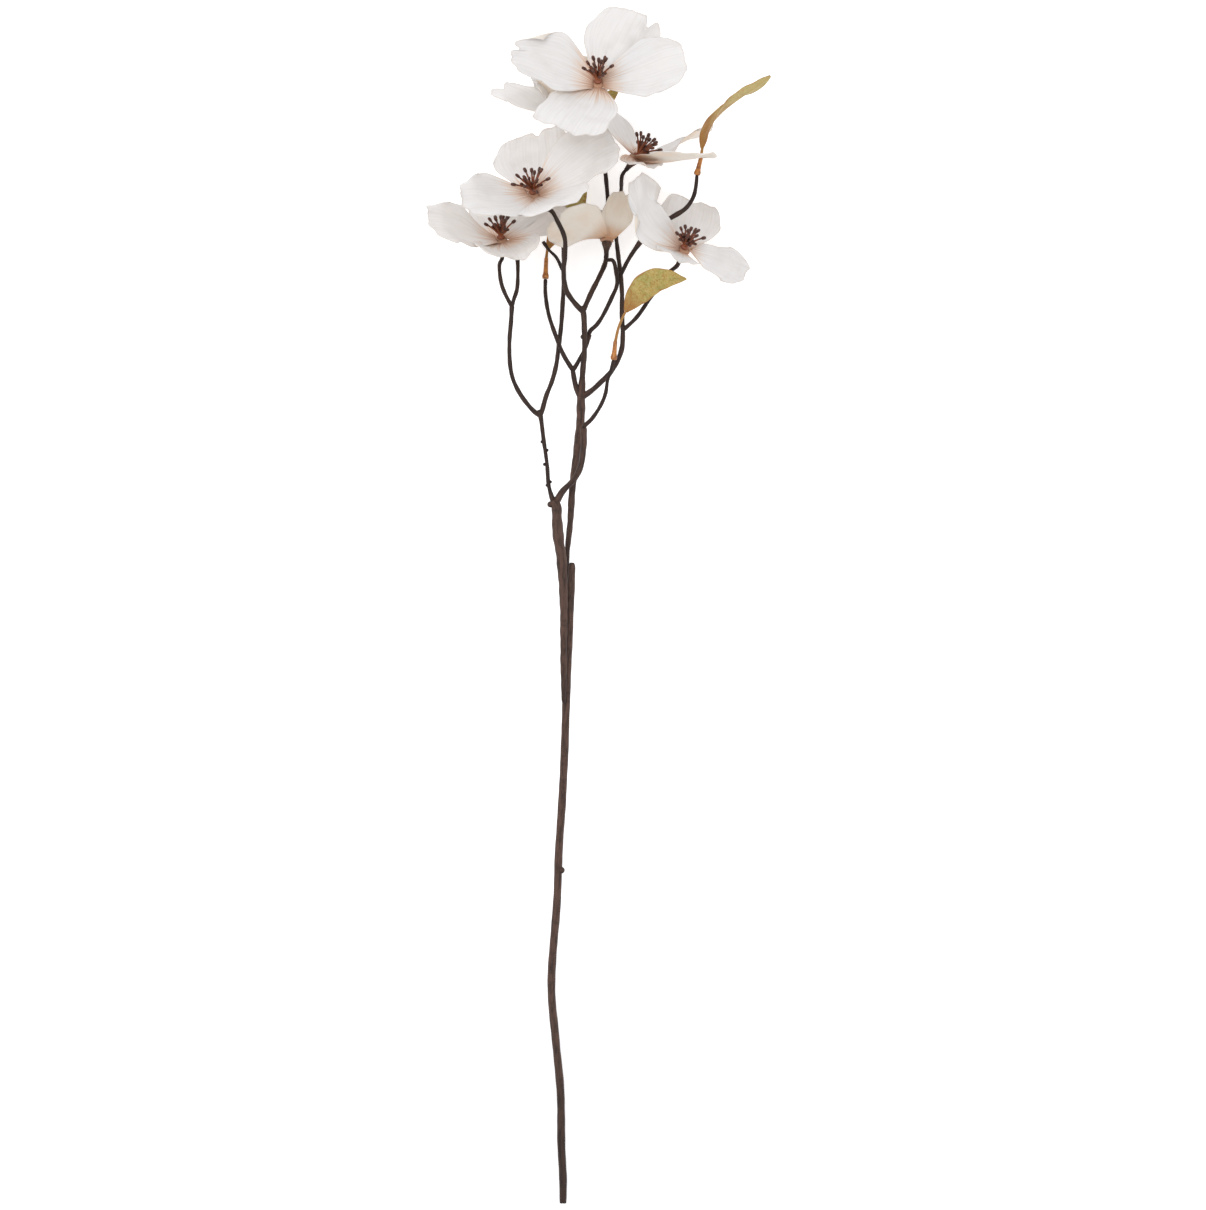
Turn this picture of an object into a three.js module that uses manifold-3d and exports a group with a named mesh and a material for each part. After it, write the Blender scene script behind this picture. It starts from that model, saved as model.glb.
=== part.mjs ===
// Artificial dogwood stem lying on a table: seven four-petalled blooms of white fabric, their stamens,
// and a few leaves on forking plastic-coated wire branches.
//
// Millimetres, +Z up. The stem runs along +Y from its cut end, and +X is to the right seen from above.
// The origin is the middle of the small flat on which the stem rests near its cut end.

import * as THREE from 'three';
import { mergeVertices } from 'three/addons/utils/BufferGeometryUtils.js';
import Module from 'manifold-3d';

const wasm = await Module();
wasm.setup();

// Driving dimensions
const gap = 0.3; // between pieces that touch
const petalLength = 56; // a bloom is about 110 across
const petalWidth = 48;
const petalThickness = 0.7;
const leafThickness = 0.8;
const hubRadius = 4.2; // disc in the middle of a bloom that its petals grow from
const hubThickness = 2.6;
const petalStep = 0.65; // petals lie alternately this far before and behind the middle of the hub
const stemRadius = 2.4;
const wireRadius = 1.0;
const twigRadius = 1.35;
const floorReach = 900; // side of the slab that trims what would dip below the table

// How finely the forms are faceted
const petalColumns = 8;
const petalRows = 5;
const leafColumns = 4;
const leafRows = 9;
const goldenAngle = THREE.MathUtils.degToRad(137.5);

const up = new THREE.Vector3(0, 1, 0);
const vector = ([x, y, z]) => new THREE.Vector3(x, y, z);
const smooth = (from, to, value) => THREE.MathUtils.smoothstep(value, from, to);

const finishes = {
  petal: { color: '#e9e3e0', roughness: 0.85, metalness: 0 },
  stamen: { color: '#4a2a1e', roughness: 0.6, metalness: 0 },
  bark: { color: '#4a3a35', roughness: 0.55, metalness: 0 },
  leaf: { color: '#a99a4e', roughness: 0.7, metalness: 0 },
  sleeve: { color: '#a56a2c', roughness: 0.45, metalness: 0 },
  wire: { color: '#8f9194', roughness: 0.35, metalness: 1 },
};

// Solids: closed meshes joined and cut

function solid(geometry) {
  const bare = geometry.clone();
  bare.deleteAttribute('normal');
  bare.deleteAttribute('uv');
  const merged = mergeVertices(bare, 1e-4);
  const made = new wasm.Manifold(new wasm.Mesh({
    numProp: 3,
    vertProperties: new Float32Array(merged.attributes.position.array),
    triVerts: new Uint32Array(merged.index.array),
  }));
  if (made.volume() > 0) return made;
  const turned = Uint32Array.from(merged.index.array).reverse();
  return new wasm.Manifold(new wasm.Mesh({
    numProp: 3,
    vertProperties: new Float32Array(merged.attributes.position.array),
    triVerts: turned,
  }));
}

const fuse = (solids) => solids.reduce((whole, next) => whole.add(next));

function onTable(body) {
  const slab = new THREE.BoxGeometry(floorReach * 2, floorReach * 2, floorReach);
  slab.translate(0, 0, -floorReach / 2);
  return body.subtract(solid(slab));
}

function meshOf(name, body, finish) {
  const { vertProperties, triVerts } = body.getMesh();
  const geometry = new THREE.BufferGeometry();
  geometry.setAttribute('position', new THREE.BufferAttribute(new Float32Array(vertProperties), 3));
  geometry.setIndex(new THREE.BufferAttribute(new Uint32Array(triVerts), 1));
  geometry.computeVertexNormals();
  const mesh = new THREE.Mesh(geometry, new THREE.MeshStandardMaterial(finishes[finish]));
  mesh.name = name;
  return mesh;
}

// Turned forms: a profile of [radius, height] pairs spun about an axis that starts at a place

function turned(profile, sides, place, axis) {
  const outline = profile.map(([radius, height]) => new THREE.Vector2(radius, height));
  const geometry = new THREE.LatheGeometry(outline, sides);
  geometry.applyQuaternion(new THREE.Quaternion().setFromUnitVectors(up, axis));
  geometry.translate(place.x, place.y, place.z);
  return solid(geometry);
}

// Limbs: a tapering round rod bent along a smooth curve. A limb's thickness is a list of radii that are
// spread evenly from its start to its end.

function limb(points, radii, { sides = 5, stride = 11 } = {}) {
  const curve = new THREE.CatmullRomCurve3(points.map(vector), false, 'centripetal');
  const steps = Math.max(3, Math.round(curve.getLength() / stride));
  const frames = curve.computeFrenetFrames(steps, false);
  const radiusAt = (t) => {
    const place = t * (radii.length - 1);
    const before = Math.min(Math.floor(place), radii.length - 2);
    return THREE.MathUtils.lerp(radii[before], radii[before + 1], place - before);
  };
  const outline = [new THREE.Vector2(0, 0)];
  for (let step = 0; step <= steps; step += 1) {
    outline.push(new THREE.Vector2(radiusAt(step / steps), step));
  }
  outline.push(new THREE.Vector2(0, steps));
  const geometry = new THREE.LatheGeometry(outline, sides);
  const position = geometry.attributes.position;
  const bent = new THREE.Vector3();
  for (let index = 0; index < position.count; index += 1) {
    const step = Math.round(position.getY(index));
    bent.copy(curve.getPointAt(step / steps));
    bent.addScaledVector(frames.normals[step], position.getX(index));
    bent.addScaledVector(frames.binormals[step], position.getZ(index));
    position.setXYZ(index, bent.x, bent.y, bent.z);
  }
  return solid(geometry);
}

function nub(point, radius) {
  const geometry = new THREE.SphereGeometry(radius, 6, 4);
  geometry.translate(...point);
  return solid(geometry);
}

// Blades: a thin sheet of even thickness on a surface that is a function of u (root to tip, 0 to 1) and
// v (side to side, -1 to 1). Both faces share one grid, so they never cross.

function blade(surface, columns, rows, thickness) {
  const plane = new THREE.PlaneGeometry(2, 1, columns, rows);
  const grid = plane.attributes.position;
  const nudge = 0.02;
  const front = [];
  const back = [];
  for (let index = 0; index < grid.count; index += 1) {
    const u = grid.getY(index) + 0.5;
    const v = grid.getX(index);
    const middle = surface(u, v);
    const atU = THREE.MathUtils.clamp(u, 0.04, 0.96);
    const atV = THREE.MathUtils.clamp(v, -0.85, 0.85);
    const along = surface(atU + nudge, atV).sub(surface(atU - nudge, atV));
    const across = surface(atU, atV + nudge).sub(surface(atU, atV - nudge));
    const normal = across.cross(along).normalize().multiplyScalar(thickness / 2);
    front.push(...middle.clone().add(normal).toArray());
    back.push(...middle.clone().sub(normal).toArray());
  }
  const rim = [];
  for (let column = 0; column < columns; column += 1) rim.push(column);
  for (let row = 0; row < rows; row += 1) rim.push(columns + row * (columns + 1));
  for (let column = columns; column > 0; column -= 1) rim.push(rows * (columns + 1) + column);
  for (let row = rows; row > 0; row -= 1) rim.push(row * (columns + 1));
  const faces = [...plane.index.array];
  const behind = grid.count;
  const triangles = [...faces];
  for (let corner = 0; corner < faces.length; corner += 3) {
    triangles.push(faces[corner] + behind, faces[corner + 2] + behind, faces[corner + 1] + behind);
  }
  rim.forEach((here, index) => {
    const next = rim[(index + 1) % rim.length];
    triangles.push(here, next, next + behind, here, next + behind, here + behind);
  });
  const geometry = new THREE.BufferGeometry();
  geometry.setAttribute('position', new THREE.Float32BufferAttribute([...front, ...back], 3));
  geometry.setIndex(triangles);
  return solid(geometry);
}

// Petals: narrow at the root, widest past the middle, round at the end with a notch in it. The blade is
// cupped from side to side, bowed from root to tip, and waves more and more towards its edge. A taper
// draws its sides in, a waist pinches them before the end, a sway bends its middle line sideways and a
// skew makes one side longer.

function petal(centre, axis, shape, number) {
  const {
    to, length = 1, width = 1, twist = 0, cup = 0.1, bow = -0.05, curl = 0.06, wave = 1,
    roundness = 0.36, spread = 0.72, taper = 0.08, waist = 0, sway = 0, skew = 0,
    notchAt = 0, notchDepth = 0.07, notchWidth = 0.15,
  } = shape;
  const reach = petalLength * length;
  const half = (petalWidth * width) / 2;
  const aim = vector(to).normalize();
  const outward = aim.clone().addScaledVector(axis, -aim.dot(axis)).normalize();
  const layer = centre.clone().addScaledVector(axis, number % 2 === 1 ? petalStep : -petalStep);
  const root = layer.clone().addScaledVector(outward, hubRadius - 1.4);
  const tip = layer.clone().addScaledVector(aim, reach);
  const along = tip.clone().sub(root);
  const span = along.length();
  along.normalize();
  const straightSide = new THREE.Vector3().crossVectors(axis, along).normalize();
  const phase = 2.4 * number;
  const surface = (u, across) => {
    const v = Math.sin((Math.PI / 2) * across);
    const side = straightSide.clone();
    side.applyAxisAngle(along, THREE.MathUtils.degToRad(twist * smooth(0, 0.5, u)));
    const face = new THREE.Vector3().crossVectors(along, side);
    const round = 1 - roundness * (1 - Math.sqrt(Math.max(0, 1 - Math.abs(v) ** 2.6)));
    const notch = notchDepth * Math.exp(-(((v - notchAt) / notchWidth) ** 2)) * smooth(0.55, 1, u);
    const flare = 0.15 + 0.85 * Math.sin((Math.PI / 2) * Math.min(1, u / spread)) ** 1.1;
    const pinch = waist * Math.exp(-(((u - 0.78) / 0.1) ** 2));
    const close = 1 - taper * smooth(0.45, 1, u) - pinch;
    const distance = span * u * (1 + (round - 1) * u ** 1.5 - notch + skew * v * u);
    const sideways = half * flare * close * v + sway * 4 * u * (1 - u) * span;
    const bowed = bow * 4 * u * (1 - u) * span;
    const curled = -curl * smooth(0.65, 1, u) ** 2 * span;
    const cupped = cup * half * flare * v * v;
    const waves = Math.sin(4.2 * v + phase) * 1.1 + Math.sin(7.5 * v + 1.7 * phase) * 0.6;
    const rise = bowed + curled + cupped + wave * waves * u ** 2.5;
    return root.clone().addScaledVector(along, distance)
      .addScaledVector(side, sideways)
      .addScaledVector(face, rise);
  };
  return blade(surface, petalColumns, petalRows, petalThickness);
}

// Stamens: a small dome set with thread-like filaments, each ending in a fatter head. They stand on a
// golden-angle spiral, so that they cover the dome evenly.

function stamens(centre, axis, { count = 12, fan = 42, length = 15 }) {
  const foot = hubThickness / 2 + gap;
  const dome = [[0, foot], [2.5, foot], [2.3, foot + 1.2], [1.2, foot + 2.2], [0, foot + 2.5]];
  const parts = [turned(dome, 8, centre, axis)];
  const side = new THREE.Vector3(1, 0, 0).cross(axis).normalize();
  for (let number = 0; number < count; number += 1) {
    const lean = THREE.MathUtils.degToRad(fan) * Math.sqrt((number + 0.5) / count);
    const direction = axis.clone().applyAxisAngle(side, lean).applyAxisAngle(axis, number * goldenAngle);
    const tall = length * (1 + 0.13 * Math.sin(2.4 * number));
    const start = centre.clone().addScaledVector(axis, foot + 0.8);
    const rod = [[0, 0], [0.5, 0], [0.42, tall - 3], [1.1, tall - 1.5], [0, tall]];
    parts.push(turned(rod, 3, start, direction));
  }
  return fuse(parts);
}

// Blooms: where each one sits, which way it faces, and where its petals reach. A petal's `to` is the way
// from the middle of the bloom to its tip.

const blooms = [
  {
    name: 'bloom_1', centre: [21.5, 658, 72], faces: [0, 0.66, 0.75], fan: 34, length: 18,
    petals: [
      {
        to: [-51, 17, 12], width: 1.0, curl: 0.0, wave: 0.3, spread: 0.5, taper: 0.3, sway: -0.13,
        notchAt: -0.25, notchDepth: 0.08, notchWidth: 0.1,
      },
      { to: [23.5, 45, -22], notchAt: -0.45, notchDepth: 0.13, notchWidth: 0.1 },
      { to: [53, 17, 8], length: 0.98, notchDepth: 0.02 },
      {
        to: [-17, -23.5, 42], length: 1.04, width: 0.9, roundness: 0.1, spread: 0.42, taper: -0.05,
        notchDepth: 0.03,
      },
    ],
  },
  {
    name: 'bloom_2', centre: [-17, 591.5, 76], faces: [-0.12, 0.71, 0.71], fan: 48, length: 17,
    petals: [
      { to: [-42, -1, 32], length: 0.96, skew: 0.2, spread: 0.45, notchDepth: 0.03 },
      {
        to: [-2.5, 41, -34], length: 0.93, skew: -0.13, notchAt: -0.2, notchDepth: 0.09,
        notchWidth: 0.1,
      },
      {
        to: [50, 36, 8], length: 1.05, width: 0.95, roundness: 0.25, spread: 0.6, sway: 0.07,
        notchDepth: 0.02,
      },
      { to: [18, -4, 50] },
    ],
  },
  {
    name: 'bloom_3', centre: [-36.5, 564.5, 50], faces: [-0.05, 0.85, 0.5],
    petals: [
      {
        to: [-42, 14.5, 25], twist: -16, length: 0.93, width: 0.8, spread: 0.5, sway: -0.06,
        notchDepth: 0.03,
      },
      { to: [5, 33.5, -40] },
      { to: [27, 19.5, -20], twist: 8, length: 0.9, width: 0.82, spread: 0.6 },
      { to: [8, -8.5, 50], width: 0.82, cup: 0.4, spread: 0.35, notchDepth: 0.1 },
    ],
  },
  {
    name: 'bloom_4', centre: [44, 614, 40], faces: [0.6, 0.77, 0.2], fan: 30,
    petals: [
      { to: [-20, 36, -27], width: 0.9 },
      { to: [40, 19, -30], twist: -55 },
      { to: [46, 4, 34], twist: 12, length: 0.97, width: 0.9 },
      { to: [12, -5, 46], twist: 30, length: 0.6, width: 0.52, spread: 0.4 },
    ],
  },
  {
    name: 'bloom_5', centre: [73, 559, 42], faces: [0.3, 0.75, 0.6],
    petals: [
      {
        to: [-27.5, 41, 24], twist: -30, width: 0.57, spread: 0.3, taper: 0.05, waist: 0.3,
        sway: 0.15, notchDepth: 0.03,
      },
      { to: [7, 32, -38], length: 0.95, width: 0.82 },
      { to: [38, -13, -34], twist: 52, width: 0.33, spread: 0.1, taper: -0.35, notchDepth: 0.03 },
      { to: [-5, -4, 44], length: 0.7, width: 0.62 },
    ],
  },
  {
    name: 'bloom_6', centre: [27, 565, 30], faces: [0.05, 0.9, -0.3], count: 9, fan: 18, length: 9,
    petals: [
      { to: [-26, 11, 22], twist: 32, length: 0.78, width: 0.78 },
      { to: [10, 27, 9], length: 0.6, width: 0.44, spread: 0.6 },
      { to: [-14, 24, -12], length: 0.4, width: 0.5 },
      { to: [-2, 26, -14], length: 0.42, width: 0.45 },
    ],
  },
  {
    name: 'bloom_7', centre: [9, 638, 32], faces: [0, 0.95, 0.2], fan: 24, length: 13,
    petals: [
      { to: [-46, 22, -22], width: 1.1 },
      { to: [-3.5, 33, 16], length: 0.8 },
      { to: [-13, 29, -20], length: 0.9, width: 0.75 },
      { to: [-26.5, 33, 0], length: 0.6 },
    ],
  },
];

// The stem's end at a bloom: a small cup that the hub sits on, facing the way the bloom faces

const cupHeight = 8;

function calyx(centre, axis) {
  const top = -hubThickness / 2 - gap;
  const profile = [
    [0, top - cupHeight], [twigRadius, top - cupHeight], [1.7, top - 5],
    [3.1, top - 0.9], [3.1, top], [0, top],
  ];
  return turned(profile, 8, centre, axis);
}

function bloomByName(name) {
  const { centre, faces } = blooms.find((bloom) => bloom.name === name);
  return { centre: vector(centre), axis: vector(faces).normalize() };
}

// A limb that ends in a bloom's cup

function flowerLimb(points, radii, name, options) {
  const { centre, axis } = bloomByName(name);
  const below = (distance) => centre.clone().addScaledVector(axis, -distance).toArray();
  const drop = hubThickness / 2 + gap + cupHeight;
  return fuse([
    limb([...points, below(drop + 3), below(drop - 1)], radii, options),
    calyx(centre, axis),
  ]);
}

// Main stem: a straight wire-cored rod that ends in a round stub above the last joint

const mainPath = [
  [0.5, -15, 2.15], [0.5, 0, 2.1], [-0.5, 20, 2.2], [-1, 52, 3], [-4, 84.5, 4.6], [-6.5, 116, 7],
  [-3, 169, 11.5], [-2, 197, 14.2], [0, 227.5, 17.5], [1.5, 258, 21], [2.5, 288.5, 24.5], [4, 324, 28.5],
  [5, 348.5, 31.5], [6, 371, 34],
];
const mainRadii = [2.0, ...Array(22).fill(stemRadius), 2.1]; // slimmer only at its two ends
const mainRod = limb(mainPath, mainRadii, { sides: 8, stride: 14 })
  .add(nub([-0.5, 186, 14], 2.1));
const boredPath = mainPath.slice(0, 10); // the wire core reaches its tenth point
const borePath = [[0.5, -18.5, 2.15], ...boredPath];
const bore = limb(borePath, [wireRadius + gap, wireRadius + gap], { sides: 6, stride: 14 });
const wire = limb(boredPath, [wireRadius, wireRadius], { sides: 6, stride: 14 });

// Left stem: laid along the main stem, then forked three times

const leftStem = fuse([
  limb([[1, 287, 28.6], [1, 300.5, 30.2], [1, 324, 32.6], [1, 348.5, 35.5], [0.5, 360.5, 36.8],
    [-0.5, 375, 38], [-2, 384.5, 38.5], [-3, 396.5, 39], [-3.5, 405, 39.4], [-5.5, 408.5, 39.8]],
    [1.2, 1.9, 2.1, 2.2, 2.4, 2.6, 2.6, 2.5, 2.3]),
  limb([[-3.5, 404, 39.4], [-6, 410, 40], [-8, 417.5, 41], [-9, 430, 42.4], [-11, 444.5, 44],
    [-13, 459.5, 45.5], [-14, 462.5, 46]], [1.9, 1.3, 1.2, 1.2, 1.3, 1.6]),
  limb([[-13, 459, 45.5], [-17, 462, 46], [-24, 470.5, 47], [-29, 480, 48], [-31, 488.5, 48.5],
    [-31.5, 503.5, 49.5], [-30.5, 516.5, 50], [-30, 525.5, 50.5]], [1.5, 1.4, 1.3, 1.3, 1.3, 1.5]),
  flowerLimb([[-30, 524.5, 50.5], [-34, 532, 50], [-36.5, 539, 49], [-37.5, 550, 47]], [1.3, 1.2, 1.2],
    'bloom_3'),
  limb([[-30, 524.5, 50.5], [-29, 528.5, 50.5], [-27, 535, 48.5], [-26.5, 548, 43], [-27, 557.5, 38]],
    [1.3, 1.2, 1.15, 1.5]),
  flowerLimb([[-13, 459, 45.5], [-12, 462, 45], [-9.5, 471, 43.5], [-6, 480, 42], [-3.5, 489.5, 40.5],
    [-2, 501, 38.5], [-0.5, 513.5, 36.5], [0.5, 528.5, 34.5], [1, 537, 33], [1, 548, 29],
    [1, 557.5, 20], [0.5, 567, 12.5], [0.5, 576.5, 10], [2.5, 591, 11], [6.5, 609.5, 17]],
    [1.5, 1.4, 1.4, 1.4, 1.35, 1.3, 1.2, 1.2], 'bloom_7'),
  limb([[0.5, 546.5, 29.5], [-3.5, 554.5, 32.5], [-8, 559, 33], [-11.5, 564, 33]],
    [1.1, 1.0, 0.9, 1.2]),
  limb([[-3.5, 407.5, 39.5], [0.5, 414, 41.5], [8.5, 422, 44], [12.5, 430, 45.5], [14.5, 440.5, 46],
    [14.5, 452, 46]], [1.9, 1.6, 1.5, 1.6, 2.0]),
  nub([-7, 406, 39.8], 1.9),
  nub([-9, 417.5, 41], 1), nub([-7, 419.5, 41.1], 1), nub([-10.5, 430, 42.4], 1), nub([-9, 438.5, 43.3], 1),
  nub([-12, 443.5, 43.9], 1),
]);

// Middle stem: laid behind the main stem, then forked into the limbs of five blooms

const middleStem = fuse([
  limb([[2.5, 324, 24.4], [3, 348.5, 27.4], [3, 360.5, 28.6], [3, 375, 30], [5, 396.5, 32],
    [6, 413.5, 33.5], [7, 422, 34.2], [9, 438.5, 36], [11, 455.5, 38], [11.5, 473.5, 40]],
    [1.2, 1.5, 1.5, 1.5, 1.5, 1.6, 1.8, 2.2, 2.3]),
  limb([[11.5, 471, 40], [12.5, 486.5, 42], [13.5, 499, 43.5], [13.5, 508, 44.5], [13, 520, 46],
    [12, 525, 46.4]], [2.0, 1.5, 1.5, 1.6, 1.9]),
  flowerLimb([[12.5, 521.5, 46.2], [7, 527.5, 47.5], [2.5, 534.5, 51], [1, 545.5, 57], [2, 557.5, 63],
    [1.5, 566, 66.5], [-2.5, 575, 69], [-7, 582, 70]], [1.7, 1.5, 1.4, 1.35, 1.3], 'bloom_2'),
  flowerLimb([[12.5, 521.5, 46.2], [14, 525, 45.5], [17.5, 533, 42], [22, 542, 35.5], [26, 551.5, 28],
    [27, 562, 20], [27.5, 575.5, 15], [27.5, 588.5, 15], [26, 606, 24], [23.5, 627.5, 43]],
    [1.6, 1.5, 1.4, 1.3, 1.3, 1.2, 1.2], 'bloom_1'),
  limb([[23.8, 624, 40], [24.2, 629.5, 43], [24.6, 634, 46.5]], [1.1, 1.0]),
  limb([[11, 470, 40], [9.5, 473.5, 40.5], [8, 478, 41], [6, 489, 42]], [1.8, 1.5, 1.5]),
  limb([[6.5, 486.5, 42], [1, 495.5, 43], [-3.5, 506.5, 43.5], [-8, 520, 40], [-10, 533, 34.5],
    [-10, 541, 31]], [1.4, 1.3, 1.2, 1.2]),
  limb([[6.5, 486.5, 42], [8.5, 489.5, 41], [11.5, 495, 40], [14, 500, 39], [16, 508, 38]],
    [1.4, 1.2, 1.2, 1.9]),
  limb([[11.5, 470, 40], [18, 474.5, 41.5], [24, 480, 43], [29, 485, 44], [33.5, 492.5, 44.5],
    [36, 500, 44.5], [36.5, 508, 44.5], [36.5, 513.5, 44.5]], [1.9, 1.6, 1.5, 1.5, 1.5]),
  flowerLimb([[36.5, 510.5, 44.5], [40, 513.5, 44], [45, 518.5, 43.5], [51, 527, 42.5],
    [54.5, 532, 41.5], [62, 543.5, 38.5]], [1.3, 1.2, 1.25, 1.3], 'bloom_5'),
  flowerLimb([[36.5, 510.5, 44.5], [36, 520, 43], [36, 533, 39], [35, 545.5, 32], [33.5, 558, 23],
    [32.5, 569.5, 12], [33.5, 581, 11], [34.5, 588, 15], [35.5, 595, 24]], [1.5, 1.4, 1.3, 1.2, 1.2],
    'bloom_4'),
  limb([[35, 543, 33.5], [39, 551.5, 35], [43, 558, 36.5], [48, 565, 37.5]], [1.2, 1.2, 1.8]),
  nub([12.5, 506.5, 44.4], 1.5),
]);

// Thin twigs plugged on at the collars

const bloomTwig = flowerLimb([[17, 510.5, 37.8], [20.5, 513, 37.7], [24, 518.5, 37.5], [30, 530.5, 38],
  [33, 538, 38], [32.5, 545.5, 37.5], [30.5, 552.5, 37]], [1.3, 1.25, 1.2], 'bloom_6');

// Leaves: a pointed blade folded along its middle, on a stalk that a sleeve holds on its twig. Its route
// runs from the foot of the stalk to the tip.

function leaf({ route, face, width, stalk, fold = 0.25, tilt = 0, turn = 0 }) {
  const curve = new THREE.CatmullRomCurve3(route.map(vector), false, 'centripetal');
  const facing = vector(face).normalize();
  const start = stalk;
  const surface = (u, v) => {
    const t = start + (1 - start) * u;
    const along = curve.getTangentAt(t);
    const side = new THREE.Vector3().crossVectors(facing, along).normalize();
    side.applyAxisAngle(along, THREE.MathUtils.degToRad(tilt + turn * u));
    const normal = new THREE.Vector3().crossVectors(along, side).normalize();
    const swell = Math.sin(Math.PI * Math.min(1, 0.06 + 0.94 * u) ** 0.85) ** 0.8;
    const half = (width / 2) * (0.05 + 0.95 * swell);
    const waves = 0.5 * Math.sin(9 * u + 3 * v);
    return curve.getPointAt(t).addScaledVector(side, half * v)
      .addScaledVector(normal, fold * half * Math.abs(v) + waves * Math.abs(v));
  };
  const points = [0, 0.5, 1].map((share) => curve.getPointAt(share * (start + 0.12)).toArray());
  const stalkRod = limb(points, [0.9, 0.8, 0.5], { sides: 6, stride: 4 });
  return fuse([blade(surface, leafColumns, leafRows, leafThickness), stalkRod]);
}

// Sleeve: a short tapered tube between a twig's end and a leaf's stalk

function sleeve(from, to) {
  const start = vector(from);
  const axis = vector(to).sub(start);
  const length = axis.length();
  axis.normalize();
  const profile = [[0, gap], [1.9, gap], [2.0, 2], [1.5, 3], [1.2, length - gap], [0, length - gap]];
  return turned(profile, 7, start, axis);
}

const leaves = [
  {
    name: 'leaf_1',
    twig: {
      path: [[49, 566.5, 37.6], [56, 572.5, 37], [66, 578.5, 36], [74.5, 584, 37], [79, 591, 39],
        [80.5, 598, 41], [81, 604, 42]],
      radii: [1.1, 1.2, 1.5, 1.2, 1.1],
    },
    sleeve: [[81, 604, 42], [83.5, 614.5, 42]],
    route: [[83.5, 614.5, 42], [84.5, 621.5, 42], [87, 630, 43], [96, 641, 45], [107.5, 650, 47],
      [116.5, 656, 48], [125, 663, 48]],
    face: [-0.8, 0.5, 0.3], width: 17, stalk: 0.12, tilt: 18, turn: -95,
  },
  {
    name: 'leaf_2',
    twig: {
      path: [[14.5, 453.5, 46.2], [17.5, 456.5, 47], [22.5, 464, 49], [26, 472, 51], [27.5, 481, 53],
        [29.5, 486.5, 54], [31, 493, 55]],
      radii: [1.3, 1.2, 1.1, 1.0],
    },
    sleeve: [[31, 493, 55], [32, 503.5, 56]],
    route: [[32, 503.5, 56], [34, 512, 57.5], [38, 521, 59], [44.5, 530.5, 60.5], [53, 538, 61],
      [63, 541, 60], [74.5, 541, 57]],
    face: [0.15, 0.35, 0.9], width: 16, stalk: 0.3,
  },
  {
    name: 'leaf_3',
    sleeve: [[-10, 542, 31], [-9.5, 554, 28.5]],
    route: [[-9.5, 554, 28.5], [-8.5, 560.5, 26], [-5, 568, 22], [0.5, 576, 18.5], [6.5, 585.5, 18],
      [9.5, 594.5, 19], [9, 602, 21], [2.5, 610, 21.5]],
    face: [0.5, 0.2, 0.8], width: 17, stalk: 0.08,
  },
  {
    name: 'leaf_4',
    route: [[25.1, 635, 47], [25.6, 641, 49.5], [28, 648.5, 52], [34.5, 656.5, 53.5]],
    face: [-0.3, 0.2, 0.9], width: 9, stalk: 0.15,
  },
];

// The whole stem

const spray = new THREE.Group();
spray.add(meshOf('main_stem', onTable(mainRod.subtract(bore)), 'bark'));
spray.add(meshOf('stem_wire', wire, 'wire'));
spray.add(meshOf('left_stem', leftStem, 'bark'));
spray.add(meshOf('middle_stem', middleStem, 'bark'));
spray.add(meshOf('bloom_6_twig', bloomTwig, 'bark'));

for (const { name, centre, faces, petals, ...options } of blooms) {
  const middle = vector(centre);
  const axis = vector(faces).normalize();
  const rim = hubThickness / 2;
  const hub = turned([[0, -rim], [hubRadius, -rim], [hubRadius, rim], [0, rim]], 10, middle, axis);
  const head = fuse([hub, ...petals.map((shape, index) => petal(middle, axis, shape, index + 1))]);
  spray.add(meshOf(`${name}_petals`, onTable(head), 'petal'));
  spray.add(meshOf(`${name}_stamens`, stamens(middle, axis, options), 'stamen'));
}

for (const { name, twig, sleeve: ends, ...shape } of leaves) {
  if (twig) spray.add(meshOf(`${name}_twig`, limb(twig.path, twig.radii), 'bark'));
  if (ends) spray.add(meshOf(`${name}_sleeve`, sleeve(...ends), 'sleeve'));
  spray.add(meshOf(name, leaf(shape), 'leaf'));
}

export default spray;
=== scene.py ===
"""Looks for a lying artificial dogwood stem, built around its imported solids.

Seven blossoms of white fabric, their stamens and a few olive leaves sit on forked,
plastic-coated wire branches. Sizes and places in this file are millimetres in the part's
own frame: the stem runs along +Y, +Z is up from the floor, and +X is to the right seen
from above. Meshes are made in metres.
"""

import logging
import math
from collections.abc import Callable, Iterable, Sequence
from dataclasses import dataclass, field
from enum import Enum
from typing import Any

import bpy
import numpy as np
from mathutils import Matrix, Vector


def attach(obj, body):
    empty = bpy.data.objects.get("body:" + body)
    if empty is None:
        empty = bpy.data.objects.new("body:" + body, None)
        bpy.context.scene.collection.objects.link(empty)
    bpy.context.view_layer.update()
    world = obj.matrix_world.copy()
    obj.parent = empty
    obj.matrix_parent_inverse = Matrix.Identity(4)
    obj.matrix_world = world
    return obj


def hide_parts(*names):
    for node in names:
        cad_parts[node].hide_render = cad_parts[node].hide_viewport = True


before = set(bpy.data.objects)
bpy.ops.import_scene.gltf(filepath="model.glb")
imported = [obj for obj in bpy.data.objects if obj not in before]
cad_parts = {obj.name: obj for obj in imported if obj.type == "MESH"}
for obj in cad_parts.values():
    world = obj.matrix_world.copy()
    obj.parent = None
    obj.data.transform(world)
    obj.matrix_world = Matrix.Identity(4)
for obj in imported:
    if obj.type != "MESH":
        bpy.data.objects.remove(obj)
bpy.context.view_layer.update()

Array = np.ndarray
Triple = tuple[float, float, float]
Faces = list[list[int]]
Surface = Callable[[Array, Array], Array]  # of u along a blade and v across it

log = logging.getLogger("dogwood_stem")

MM = 0.001
BODY = "root"

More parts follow.
